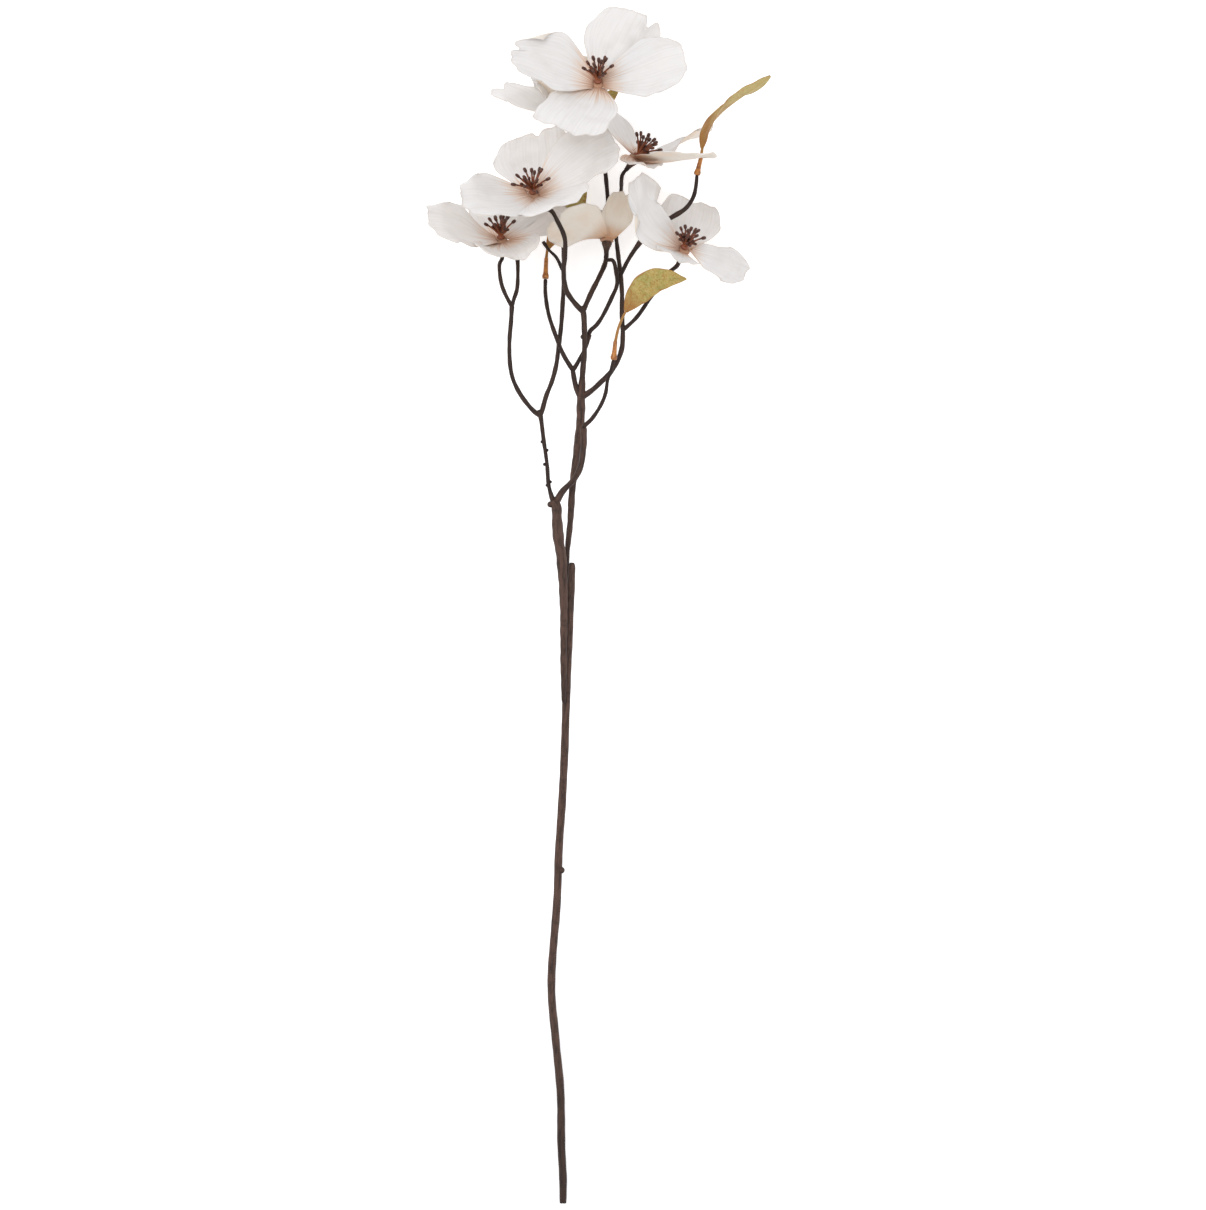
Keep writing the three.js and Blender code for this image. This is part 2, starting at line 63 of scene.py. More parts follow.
# The photograph's frame, and how many millimetres one of its pixels covers at the blossoms
PHOTO_HEIGHT_PX = 1210
MM_PER_PX = 0.6
VIEW_CENTRE = (24.6, 345.6)
BLOSSOM_HEIGHT = 45.0
CAMERA_HEIGHT = 10000.0
SENSOR_WIDTH = 36.0
CAMERA_REACH = 100000.0
LIGHT_TARGET = (*VIEW_CENTRE, 40.0)


class Slot(Enum):
    """The record's material slots, one for each kind of piece made here."""

    BARK = "bark"
    PETAL = "petal"
    STAMEN = "stamen"
    LEAF = "leaf"
    SLEEVE = "sleeve"


class Side(Enum):
    """Which side of a fabric blade a vertex is on."""

    UPPER = 0.0
    UNDER = 1.0


# Small helpers


def unit(vector: Sequence[float] | Array) -> Array:
    """Returns the vector at length one."""
    array = np.asarray(vector, float)
    return array / np.linalg.norm(array, axis=-1, keepdims=True)


def smooth(low: float, high: float, value: Array) -> Array:
    """Returns 0 below low and 1 above high, with a cubic ease between them."""
    share = np.clip((value - low) / (high - low), 0.0, 1.0)
    return share * share * (3.0 - 2.0 * share)


def linear(code: str, alpha: float = 1.0) -> tuple[float, float, float, float]:
    """Turns an sRGB colour into linear light.

    Args:
        code: the colour as six hex digits after a #.
        alpha: its opacity.

    Returns:
        Red, green, blue and alpha for a colour socket.
    """
    parts = [int(code[i : i + 2], 16) / 255.0 for i in (1, 3, 5)]
    bent = [p / 12.92 if p <= 0.04045 else ((p + 0.055) / 1.055) ** 2.4 for p in parts]
    return bent[0], bent[1], bent[2], alpha


def add_node(tree: bpy.types.NodeTree, kind: str, settings: dict[str, Any] | None = None,
             inputs: dict[str | int, Any] | None = None) -> bpy.types.Node:
    """Adds one node to a material with its settings and links.

    Args:
        tree: the material's node tree.
        kind: the node's type name.
        settings: the node's own properties.
        inputs: what each input gets: another node's output, or a plain value.

    Returns:
        The new node.
    """
    node = tree.nodes.new(kind)
    for name, value in (settings or {}).items():
        setattr(node, name, value)
    for name, value in (inputs or {}).items():
        if isinstance(value, bpy.types.NodeSocket):
            tree.links.new(value, node.inputs[name])
        else:
            node.inputs[name].default_value = value
    return node


# Meshes from whole arrays


@dataclass
class Soup:
    """Vertices, faces and per-vertex values that are gathered before they become one mesh."""

    vertices: list[Array] = field(default_factory=list)
    faces: Faces = field(default_factory=list)
    values: dict[str, list[Array]] = field(default_factory=dict)
    count: int = 0

    def add(self, vertices: Array, faces: Iterable[Sequence[int]], **values: Array) -> None:
        """Adds one closed shape.

        Args:
            vertices: its points in millimetres, one row each.
            faces: its faces, counted from its own first vertex.
            values: named per-vertex values, single numbers or triples.
        """
        self.vertices.append(vertices)
        self.faces.extend([[i + self.count for i in face] for face in faces])
        for name, value in values.items():
            self.values.setdefault(name, []).append(np.asarray(value, np.float32))
        self.count += len(vertices)

    def piece(self, name: str, material: bpy.types.Material, slot: Slot,
              replaces: str) -> bpy.types.Object:
        """Makes the mesh object and puts it in place of a solid.

        Args:
            name: the piece's name.
            material: its finish.
            slot: the record's slot that the finish belongs to; not used.
            replaces: the solid that it stands for.

        Returns:
            The new object.
        """
        mesh = bpy.data.meshes.new(name)
        mesh.from_pydata((np.concatenate(self.vertices) * MM).tolist(), [], self.faces)
        for key, parts in self.values.items():
            value = np.concatenate(parts)
            if value.ndim == 2:
                layer = mesh.attributes.new(key, "FLOAT_VECTOR", "POINT")
                layer.data.foreach_set("vector", value.ravel())
            else:
                layer = mesh.attributes.new(key, "FLOAT", "POINT")
                layer.data.foreach_set("value", value)
        mesh.polygons.foreach_set("use_smooth", np.ones(len(mesh.polygons), bool))
        mesh.materials.append(material)
        mesh.update()
        piece = bpy.data.objects.new(name, mesh)
        bpy.context.scene.collection.objects.link(piece)
        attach(piece, BODY)
        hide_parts(replaces)
        log.info("%s: %d vertices, %d faces", name, len(mesh.vertices), len(mesh.polygons))
        return piece


def outward(vertices: Array, faces: Faces) -> Faces:
    """Turns a closed shape's faces outwards.

    The shape's volume is the sum over its faces of a fan of corner triple products. Where it is
    negative, every face is read the other way round.

    Args:
        vertices: the shape's points.
        faces: its faces, all wound the same way.

    Returns:
        The faces, wound so that they point out.
    """
    total = 0.0
    for size in (3, 4):
        block = np.array([face for face in faces if len(face) == size])
        if len(block) == 0:
            continue
        corner = vertices[block]
        for second in range(1, size - 1):
            cross = np.cross(corner[:, second], corner[:, second + 1])
            total += float(np.einsum("ij,ij->", corner[:, 0], cross))
    return faces if total > 0 else [face[::-1] for face in faces]


def rested(height: Array, soft: float = 0.6) -> Array:
    """Lets a blade lie on the floor where it would sink.

    The height h becomes the mean of h and the root of h squared plus four soft squared, which
    follows h well above the floor and levels off just over it.

    Args:
        height: heights over the floor in millimetres.
        soft: how high it lies where h is nought.

    Returns:
        The new heights.
    """
    return 0.5 * (height + np.sqrt(height**2 + 4.0 * soft**2))


def grid_faces(rows: int, columns: int, start: int = 0, wrap: bool = False) -> Faces:
    """Returns the quads of a grid of points, row after row.

    Args:
        rows: how many rows of points there are.
        columns: how many points a row has.
        start: the index of the first point.
        wrap: whether the last column joins the first.

    Returns:
        The quads.
    """
    across = columns if wrap else columns - 1
    row, column = np.meshgrid(np.arange(rows - 1), np.arange(across), indexing="ij")
    here = start + row * columns + column
    beside = start + row * columns + (column + 1) % columns
    quads = np.stack([here, beside, beside + columns, here + columns], -1)
    return quads.reshape(-1, 4).tolist()


def blade(surface: Surface, along: Array, across: Array,
          thickness: Surface) -> tuple[Array, Faces, Array, Array, Array]:
    """Makes a thin closed blade on a surface of two parameters.

    The surface is worked out on a grid. Its normals are the cross product of its two slopes. The
    upper face stands half a thickness out along them and the under face half a thickness in, and
    a strip of quads round the rim closes the two.

    Args:
        surface: gives the points for arrays of u and v.
        along: the values of u, from root to tip.
        across: the values of v, from side to side.
        thickness: gives the blade's thickness in millimetres for u and v.

    Returns:
        Vertices, faces, and each vertex's u, v and side.
    """
    u, v = np.meshgrid(along, across, indexing="ij")
    points = surface(u, v)
    rise_u = np.gradient(points, along, axis=0)
    rise_v = np.gradient(points, across, axis=1)
    normal = unit(np.cross(rise_u, rise_v))
    half = 0.5 * thickness(u, v)[..., None]
    points[..., 2] = rested(points[..., 2])
    rows, columns = u.shape
    upper = (points + normal * half).reshape(-1, 3)
    under = (points - normal * half).reshape(-1, 3)
    vertices = np.concatenate([upper, under])
    vertices[:, 2] = np.maximum(vertices[:, 2], 0.0)
    size = rows * columns
    faces = grid_faces(rows, columns)
    faces += [face[::-1] for face in grid_faces(rows, columns, size)]
    index = np.arange(size).reshape(rows, columns)
    rim = np.concatenate([index[0, :-1], index[:-1, -1], index[-1, :0:-1], index[:0:-1, 0]])
    following = np.roll(rim, -1)
    faces += np.stack([following, rim, rim + size, following + size], -1).tolist()
    sides = np.repeat([Side.UPPER.value, Side.UNDER.value], size)
    return vertices, outward(vertices, faces), np.tile(u.ravel(), 2), np.tile(v.ravel(), 2), sides


def tube(path: Array, radii: Array, sides: int) -> tuple[Array, Faces, Array, Array]:
    """Makes a closed rod: a circle carried along a path, with a fan of triangles at each end.

    Each ring stands square to the path. Its first direction is the path's slope crossed with
    whichever axis the path leans on least, and its second is square to both.

    Args:
        path: the ring centres.
        radii: a radius for each ring.
        sides: how many corners a ring has.

    Returns:
        Vertices, faces, each vertex's turn in radians, and its distance along the path.
    """
    slope = unit(np.gradient(path, axis=0))
    reference = np.eye(3)[int(np.argmin(np.abs(slope).max(axis=0)))]
    first = unit(np.cross(slope, reference))
    second = np.cross(slope, first)
    turn = np.linspace(0.0, 2.0 * math.pi, sides, endpoint=False)
    cosine, sine = np.cos(turn)[None, :, None], np.sin(turn)[None, :, None]
    ring = first[:, None] * cosine + second[:, None] * sine
    body = (path[:, None] + ring * radii[:, None, None]).reshape(-1, 3)
    rings = len(path)
    tail, tip = rings * sides, rings * sides + 1
    vertices = np.concatenate([body, path[:1], path[-1:]])
    faces = grid_faces(rings, sides, wrap=True)
    last = (rings - 1) * sides
    faces += [[tail, (k + 1) % sides, k] for k in range(sides)]
    faces += [[tip, last + k, last + (k + 1) % sides] for k in range(sides)]
    steps = np.concatenate([[0.0], np.cumsum(np.linalg.norm(np.diff(path, axis=0), axis=1))])
    turns = np.concatenate([np.tile(turn, rings), [0.0, 0.0]])
    run = np.concatenate([np.repeat(steps, sides), steps[[0, -1]]])
    return vertices, outward(vertices, faces), turns, run


def through(points: Sequence[Triple], spacing: float) -> Array:
    """Runs a smooth curve through points and samples it evenly.

    It is a centripetal Catmull-Rom curve: each span is a cubic whose end slopes come from the
    neighbouring points, weighted by the square root of their distances. The ends are carried on
    in a straight line. The samples are then spread evenly by length.

    Args:
        points: the places that the curve passes through.
        spacing: the distance between samples in millimetres.

    Returns:
        The samples, one row each.
    """
    knots = np.asarray(points, float)
    knots = np.concatenate([[2 * knots[0] - knots[1]], knots, [2 * knots[-1] - knots[-2]]])
    gaps = np.sqrt(np.linalg.norm(np.diff(knots, axis=0), axis=1))[:, None]
    a, b, c, d = knots[:-3], knots[1:-2], knots[2:-1], knots[3:]
    before, between, after = gaps[:-2], gaps[1:-1], gaps[2:]
    leave = ((b - a) / before - (c - a) / (before + between) + (c - b) / between) * between
    arrive = ((c - b) / between - (d - b) / (between + after) + (d - c) / after) * between
    t = np.linspace(0.0, 1.0, 24, endpoint=False)[None, :, None]
    b, c, leave, arrive = b[:, None], c[:, None], leave[:, None], arrive[:, None]
    dense = b + leave * t + (3 * (c - b) - 2 * leave - arrive) * t**2
    dense = dense + (2 * (b - c) + leave + arrive) * t**3
    dense = np.concatenate([dense.reshape(-1, 3), knots[-2:-1]])
    steps = np.concatenate([[0.0], np.cumsum(np.linalg.norm(np.diff(dense, axis=0), axis=1))])
    places = np.linspace(0.0, steps[-1], max(4, int(steps[-1] / spacing) + 1))
    return np.stack([np.interp(places, steps, dense[:, axis]) for axis in range(3)], -1)


# Finishes


@dataclass(frozen=True)
class PetalFabric:
    """Polyester petal cloth, woven, dipped stiff and airbrushed tan at the root.

    It looks soft and matt, a little brighter at grazing angles from its loose fibres, and lets
    some light through. Its back is creamier, with more of the tan.
    """

    white: str = "#dfdddc"
    shade: str = "#cbc7c4"
    blush: str = "#d6ae8a"
    heart: str = "#a87048"
    under: str = "#e3dbd0"
    tan: str = "#b98c66"
    rim: str = "#c6bdb6"
    vein_count: float = 17.0
    vein_run: float = 1.6
    thread_mm: float = 0.9  # real threads, of 0.25 mm, are finer than a pixel
    mottle_mm: float = 22.0
    relief_mm: float = 0.35

    def material(self) -> bpy.types.Material:
        """Builds the petal material from the attributes reach, across, under, cloth and seed."""
        material, tree, shader = blank_material("petal_cloth")
        reach = attribute(tree, "reach")
        across = attribute(tree, "across")
        under = attribute(tree, "under")
        cloth = attribute(tree, "cloth", "Vector")
        seed = attribute(tree, "seed")
        spread = weighted(tree, across, self.vein_count, seed)
        run = add_node(tree, "ShaderNodeMath", {"operation": "MULTIPLY"},
                       {0: reach, 1: self.vein_run}).outputs[0]
        fan = add_node(tree, "ShaderNodeCombineXYZ", inputs={0: spread, 1: run, 2: seed}).outputs[0]
        veins = add_node(tree, "ShaderNodeTexNoise", inputs={
            "Vector": fan, "Scale": 1.0, "Detail": 3.0, "Roughness": 0.6}).outputs["Fac"]
        threads = noise(tree, cloth, self.thread_mm, 2.0)
        mottle = noise(tree, cloth, self.mottle_mm, 3.0)
        white = mix(tree, ranged(tree, veins, 0.35, 0.75, 0.0, 0.4), self.white, self.shade)
        white = mix(tree, ranged(tree, mottle, 0.45, 0.8, 0.0, 0.7), white, self.shade)
        back = mix(tree, ranged(tree, mottle, 0.4, 0.8, 0.0, 0.35), self.under, self.blush)
        back = mix(tree, ranged(tree, reach, 0.04, 0.42, 0.75, 0.0), back, self.tan)
        colour = mix(tree, under, white, back)
        ragged = weighted(tree, veins, -0.6, reach)
        colour = mix(tree, ranged(tree, ragged, -0.2, 0.0, 0.5, 0.0), colour, self.blush)
        colour = mix(tree, ranged(tree, ragged, -0.3, -0.16, 0.75, 0.0), colour, self.heart)
        sideways = add_node(tree, "ShaderNodeMath", {"operation": "ABSOLUTE"},
                            {0: across}).outputs[0]
        outer = add_node(tree, "ShaderNodeMath", {"operation": "MAXIMUM"},
                         {0: reach, 1: sideways}).outputs[0]
        edge = weighted(tree, mottle, 0.05, outer)
        colour = mix(tree, ranged(tree, edge, 0.985, 1.03, 0.0, 0.6), colour, self.rim)
        bump = bumped(tree, weighted(tree, threads, 0.25, veins), 0.6, self.relief_mm)
        link(tree, shader, {"Base Color": colour, "Normal": bump, "Roughness": 0.82,
                            "Specular IOR Level": 0.25, "Sheen Weight": 0.15,
                            "Sheen Roughness": 0.5, "Subsurface Weight": 0.25,
                            "Subsurface Scale": 0.0012, "Subsurface Radius": (1.0, 0.9, 0.8)})
        return material


@dataclass(frozen=True)
class StamenPlastic:
    """Moulded polyethylene threads, dyed red-brown, with heads dipped nearly black."""

    root: str = "#a5623f"
    middle: str = "#83482f"
    head: str = "#48271c"
    fleck_mm: float = 1.5
    relief_mm: float = 0.2

    def material(self) -> bpy.types.Material:
        """Builds the stamen material from the attribute reach."""
        material, tree, shader = blank_material("stamen_plastic")
        reach = attribute(tree, "reach")
        place = add_node(tree, "ShaderNodeTexCoord").outputs["Object"]
        fleck = noise(tree, place, self.fleck_mm, 2.0)
        colour = mix(tree, ranged(tree, reach, 0.0, 0.6, 0.0, 1.0), self.root, self.middle)
        colour = mix(tree, ranged(tree, reach, 0.62, 0.82, 0.0, 1.0), colour, self.head)
        colour = mix(tree, ranged(tree, fleck, 0.5, 0.8, 0.0, 0.45), colour, self.root)
        bump = bumped(tree, fleck, 0.5, self.relief_mm)
        link(tree, shader, {"Base Color": colour, "Normal": bump, "Roughness": 0.5})
        return material


@dataclass(frozen=True)
class BarkCoating:
    """Soft PVC moulded over wire with a bark grain: brown, matt, with paler rubbed streaks."""

    dark: str = "#190f0b"
    brown: str = "#35251e"
    pale: str = "#5a433a"
    grain_mm: float = 1.1
    streak_mm: float = 9.0
    knot_mm: float = 3.5
    relief_mm: float = 0.5

    def material(self) -> bpy.types.Material:
        """Builds the bark material from the attributes grain and girth and the place."""
        material, tree, shader = blank_material("bark_coating")
        grain = attribute(tree, "grain", "Vector")
        girth = attribute(tree, "girth")
        long_grain = add_node(tree, "ShaderNodeMapping", inputs={
            "Vector": grain, "Scale": (1.0, 1.0, self.grain_mm / self.streak_mm)}).outputs[0]
        streaks = noise(tree, long_grain, self.grain_mm, 4.0, 0.6)
        knots = noise(tree, grain, self.knot_mm, 2.0)
        share = ranged(tree, streaks, 0.3, 0.65, 0.0, 1.0)
        thin = mix(tree, share, self.dark, self.brown)
        thick = mix(tree, share, self.brown, self.pale)
        # Thin limbs take the darker tones: painted shade, for the dark edges that fill more of a
        # thin rod
        colour = mix(tree, girth, thin, thick)
        colour = mix(tree, ranged(tree, knots, 0.5, 0.75, 0.0, 0.5), colour, thin)
        place = add_node(tree, "ShaderNodeTexCoord").outputs["Object"]
        along = add_node(tree, "ShaderNodeSeparateXYZ", inputs={0: place}).outputs[1]
        colour = mix(tree, ranged(tree, along, 0.0, 0.12, 0.8, 0.0), colour, thin)
        bump = bumped(tree, weighted(tree, knots, 0.8, streaks), 0.8, self.relief_mm)
        rough = ranged(tree, streaks, 0.3, 0.7, 0.55, 0.75)
        link(tree, shader, {"Base Color": colour, "Normal": bump, "Roughness": rough,
                            "Specular IOR Level": 0.3})
        return material


@dataclass(frozen=True)
class LeafFabric:
    """Printed leaf cloth: olive gold with greener patches, rust flecks, and a rust edge cut hot."""

    gold: str = "#ae9959"
    olive: str = "#989451"
    pale: str = "#c6b783"
    rust: str = "#9c6a36"
    patch_mm: float = 7.0
    fibre_mm: float = 1.3
    relief_mm: float = 0.35

    def material(self) -> bpy.types.Material:
        """Builds the leaf material from the attributes reach, across, under and cloth."""
        material, tree, shader = blank_material("leaf_cloth")
        reach = attribute(tree, "reach")
        across = attribute(tree, "across")
        under = attribute(tree, "under")
        cloth = attribute(tree, "cloth", "Vector")
        patches = noise(tree, cloth, self.patch_mm, 3.0)
        fibres = noise(tree, cloth, self.fibre_mm, 2.0)
        colour = mix(tree, ranged(tree, patches, 0.4, 0.68, 0.0, 0.8), self.gold, self.olive)
        colour = mix(tree, ranged(tree, fibres, 0.5, 0.75, 0.0, 0.5), colour, self.pale)
        colour = mix(tree, ranged(tree, fibres, 0.45, 0.33, 0.0, 0.75), colour, self.rust)
        colour = mix(tree, ranged(tree, under, 0.0, 1.0, 0.0, 0.35), colour, self.pale)
        away = add_node(tree, "ShaderNodeMath", {"operation": "ABSOLUTE"}, {0: across}).outputs[0]
        ragged = weighted(tree, patches, 0.5, away)
        colour = mix(tree, ranged(tree, ragged, 1.12, 1.3, 0.0, 0.8), colour, self.rust)
        scorched = weighted(tree, patches, -0.5, reach)
        colour = mix(tree, ranged(tree, scorched, -0.2, 0.12, 0.85, 0.0), colour, self.rust)
        rib = ranged(tree, away, 0.0, 0.09, 1.0, 0.0)
        bump = bumped(tree, weighted(tree, fibres, 0.5, rib), 0.6, self.relief_mm)
        link(tree, shader, {"Base Color": colour, "Normal": bump, "Roughness": 0.7,
                            "Specular IOR Level": 0.3, "Sheen Weight": 0.08,
                            "Subsurface Weight": 0.1, "Subsurface Scale": 0.001})
        return material


@dataclass(frozen=True)
class SleevePlastic:
    """Thin golden-brown plastic sleeve, heat-shrunk on the twig, smooth with a soft gloss."""

    gold: str = "#bd7a35"
    brown: str = "#7e481f"
    cloud_mm: float = 2.5
    relief_mm: float = 0.3

    def material(self) -> bpy.types.Material:
        """Builds the sleeve material from the place."""
        material, tree, shader = blank_material("sleeve_plastic")
        place = add_node(tree, "ShaderNodeTexCoord").outputs["Object"]
        cloud = noise(tree, place, self.cloud_mm, 3.0)
        colour = mix(tree, ranged(tree, cloud, 0.35, 0.65, 0.0, 1.0), self.gold, self.brown)
        bump = bumped(tree, cloud, 0.5, self.relief_mm)
        link(tree, shader, {"Base Color": colour, "Normal": bump, "Roughness": 0.4})
        return material


@dataclass(frozen=True)
class WireSteel:
    """Drawn mild steel wire with a bare cut end: grey, with fine lines along its length."""

    steel: str = "#a9aaac"
    dull: str = "#77787a"
    line_mm: float = 0.3

    def material(self) -> bpy.types.Material:
        """Builds the wire material from the place."""
        material, tree, shader = blank_material("drawn_steel")
        place = add_node(tree, "ShaderNodeTexCoord").outputs["Object"]
        drawn = add_node(tree, "ShaderNodeMapping", inputs={
            "Vector": place, "Scale": (1.0, 0.05, 1.0)}).outputs[0]
        lines = noise(tree, drawn, self.line_mm, 2.0)
        colour = mix(tree, lines, self.steel, self.dull)
        rough = ranged(tree, lines, 0.3, 0.7, 0.3, 0.5)
        link(tree, shader, {"Base Color": colour, "Metallic": 1.0, "Roughness": rough})
        return material


def blank_material(name: str) -> tuple[bpy.types.Material, bpy.types.NodeTree, bpy.types.Node]:
    """Returns a new material, its node tree and its main shader."""
    material = bpy.data.materials.new(name)
    material.use_nodes = True
    return material, material.node_tree, material.node_tree.nodes["Principled BSDF"]


def link(tree: bpy.types.NodeTree, shader: bpy.types.Node, inputs: dict[str, Any]) -> None:
    """Sets or links a shader's inputs.

    Args:
        tree: the material's node tree.
        shader: the node whose inputs they are.
        inputs: what each named input gets, a node's output or a plain value.
    """
    for name, value in inputs.items():
        if isinstance(value, bpy.types.NodeSocket):
            tree.links.new(value, shader.inputs[name])
        else:
            shader.inputs[name].default_value = value


def attribute(tree: bpy.types.NodeTree, name: str, output: str = "Fac") -> bpy.types.NodeSocket:
    """Returns the output that reads one of a mesh's per-vertex values."""
    return add_node(tree, "ShaderNodeAttribute", {"attribute_name": name}).outputs[output]


def noise(tree: bpy.types.NodeTree, place: bpy.types.NodeSocket, size_mm: float, detail: float,
          roughness: float = 0.5) -> bpy.types.NodeSocket:
    """Makes a noise of a real size.

    Args:
        tree: the material's node tree.
        place: the coordinates that it is read at, in metres.
        size_mm: how large its features are.
        detail: how many finer layers it has.
        roughness: how strong each finer layer is.

    Returns:
        Its value's output, from 0 to 1.
    """
    return add_node(tree, "ShaderNodeTexNoise", inputs={
        "Vector": place, "Scale": 1.0 / (size_mm * MM), "Detail": detail,
        "Roughness": roughness}).outputs["Fac"]


def weighted(tree: bpy.types.NodeTree, value: bpy.types.NodeSocket, weight: float,
             base: bpy.types.NodeSocket) -> bpy.types.NodeSocket:
    """Returns the output of a value times its weight, plus the base."""
    return add_node(tree, "ShaderNodeMath", {"operation": "MULTIPLY_ADD"},
                    {0: value, 1: weight, 2: base}).outputs[0]


def bumped(tree: bpy.types.NodeTree, height: bpy.types.NodeSocket, strength: float,
           relief_mm: float) -> bpy.types.NodeSocket:
    """Returns the output of a bump of this strength and real depth."""
    return add_node(tree, "ShaderNodeBump", inputs={
        "Height": height, "Strength": strength, "Distance": relief_mm * MM}).outputs[0]


def ranged(tree: bpy.types.NodeTree, value: bpy.types.NodeSocket, low: float, high: float,
           at_low: float, at_high: float) -> bpy.types.NodeSocket:
    """Maps a value from one range to another with an eased, clamped ramp.

    Args:
        tree: the material's node tree.
        value: the output to map.
        low: the value that gives at_low.
        high: the value that gives at_high.
        at_low: the result at and below low.
        at_high: the result at and above high.

    Returns:
        The mapped output.
    """
    return add_node(tree, "ShaderNodeMapRange", {"interpolation_type": "SMOOTHSTEP"}, {
        "Value": value, "From Min": low, "From Max": high,
        "To Min": at_low, "To Max": at_high}).outputs["Result"]


def mix(tree: bpy.types.NodeTree, share: bpy.types.NodeSocket,
        first: bpy.types.NodeSocket | str,
        second: bpy.types.NodeSocket | str) -> bpy.types.NodeSocket:
    """Blends two colours.

    Args:
        tree: the material's node tree.
        share: how much of the second colour there is.
        first: a colour output or an sRGB hex value.
        second: a colour output or an sRGB hex value.

    Returns:
        The blended colour's output.
    """
    ends = [linear(end) if isinstance(end, str) else end for end in (first, second)]
    return add_node(tree, "ShaderNodeMix", {"data_type": "RGBA"},
                    {0: share, 6: ends[0], 7: ends[1]}).outputs[2]


@dataclass(frozen=True)
class Finishes:
    """Every finish of the stem, built once and shared by its pieces."""

    petal: bpy.types.Material
    stamen: bpy.types.Material
    bark: bpy.types.Material
    leaf: bpy.types.Material
    sleeve: bpy.types.Material
    wire: bpy.types.Material


# Blossoms

PETAL_LENGTH = 56.0
PETAL_WIDTH = 48.0
HUB_RADIUS = 4.2
HUB_THICKNESS = 2.6
PETAL_STEP = 0.65  # petals lie alternately this far before and behind the hub's middle
PETAL_TUCK = 1.4  # how far a petal's root lies inside the hub's rim
GAP = 0.3  # between the hub and the stamens before it, or the cup behind it
GOLDEN_ANGLE = math.radians(137.5)
TUFT_LENGTH = 0.55  # of the tall stamens' length
TUFT_TURN = 1.1  # radians
HUB_SIDES = 24
DOME_LEVELS = (0.0, 0.1, 0.9, 1.7, 2.3)
DOME_RADII = (0.4, 2.5, 2.4, 1.5, 0.3)
DOME_SIDES = 20
THREAD_SIDES = 8


@dataclass(frozen=True)
class Petal:
    """One petal: the way from the blossom's middle to its tip, and how it is bent."""

    to: Triple
    length: float = 1.0
    width: float = 1.0
    twist: float = 0.0
    cup: float = 0.1
    bow: float = -0.05
    curl: float = 0.06
    wave: float = 1.0
    notch_at: float = 0.0
    notch_depth: float = 0.07
    notch_width: float = 0.15
    skew: float = 0.0
    roundness: float = 0.36
    spread: float = 0.72
    taper: float = 0.08
    waist: float = 0.0
    sway: float = 0.0
    ruffle: float = 1.0
    stain: float = 1.0

    def surface(self, centre: Array, axis: Array, number: int) -> Surface:
        """Gives the petal's middle surface.

        It starts near the hub's edge and runs to the tip. Its width opens as a sine. Its end is
        a stretched quarter round on each side, which meets the side edges smoothly, with a
        bell-shaped notch. Its skew makes one side longer than the other, its taper draws the
        sides in towards the tip, its waist pinches them before the end, and its sway bends the
        middle line sideways. It bows along its length, its tip curls back, its sides rise with
        the square of v, and slow waves grow towards the rim. Fine gathers run out from the root,
        and the rim is slightly uneven. Its stain says how far the tan of its root reaches.

        Args:
            centre: the middle of the hub.
            axis: the way the blossom faces.
            number: the petal's number, which shifts its waves.

        Returns:
            A function from u and v to points in millimetres.
        """
        aim = unit(self.to)
        out = unit(aim - axis * float(aim @ axis))
        layer = centre + axis * (PETAL_STEP if number % 2 == 1 else -PETAL_STEP)
        root = layer + out * (HUB_RADIUS - PETAL_TUCK)
        reach = layer + aim * PETAL_LENGTH * self.length - root
        span = float(np.linalg.norm(reach))
        along = reach / span
        flat_side = unit(np.cross(axis, along))
        flat_face = np.cross(along, flat_side)
        half = 0.5 * PETAL_WIDTH * self.width
        phase = 2.4 * number

        def points(u: Array, v: Array) -> Array:
            """Works the surface out for arrays of u and v."""
            turn = math.radians(self.twist) * smooth(0.0, 0.5, u)[..., None]
            side = flat_side * np.cos(turn) + flat_face * np.sin(turn)
            face = flat_face * np.cos(turn) - flat_side * np.sin(turn)
            arch = np.sqrt(np.clip(1.0 - np.abs(v) ** 2.6, 0.0, 1.0))
            rounding = 1.0 - self.roundness * (1.0 - arch)
            notch = np.exp(-(((v - self.notch_at) / self.notch_width) ** 2)) * smooth(0.55, 1.0, u)
            notch = self.notch_depth * notch
            fray = 0.007 * np.sin(13.0 * v + phase) + 0.004 * np.sin(29.0 * v + 2.0 * phase)
            fray = self.ruffle * fray * smooth(0.75, 1.0, u) + self.skew * v * u
            flare = np.sin(0.5 * math.pi * np.minimum(1.0, u / self.spread)) ** 1.1
            flare = 0.26 + 0.74 * flare
            close = 1.0 - self.taper * smooth(0.45, 1.0, u)
            close = close - self.waist * np.exp(-(((u - 0.78) / 0.1) ** 2))
            ripple = 1.0 + 0.012 * np.sin(17.0 * u + phase + 2.0 * np.sign(v)) * np.abs(v) ** 3
            distance = span * u * (1.0 + (rounding - 1.0) * u**1.5 - notch + fray)
            sideways = half * flare * close * v * ripple + self.sway * 4.0 * u * (1.0 - u) * span
            bowed = self.bow * 4.0 * u * (1.0 - u) * span
            curled = -self.curl * smooth(0.65, 1.0, u) ** 2 * span
            cupped = self.cup * half * flare * v**2
            waves = np.sin(4.2 * v + phase) * 1.1 + np.sin(7.5 * v + 1.7 * phase) * 0.6
            gathers = 0.16 * np.sin(26.0 * v + 3.0 * np.sin(2.0 * u + phase)) * u * (1.3 - u)
            crimp = 0.35 * np.sin(15.0 * v + 9.0 * u + phase) * u**6
            rise = bowed + curled + cupped + self.wave * waves * u**2.5 + gathers + crimp
            return (root + along * distance[..., None] + side * sideways[..., None]
                    + face * rise[..., None])

        return points


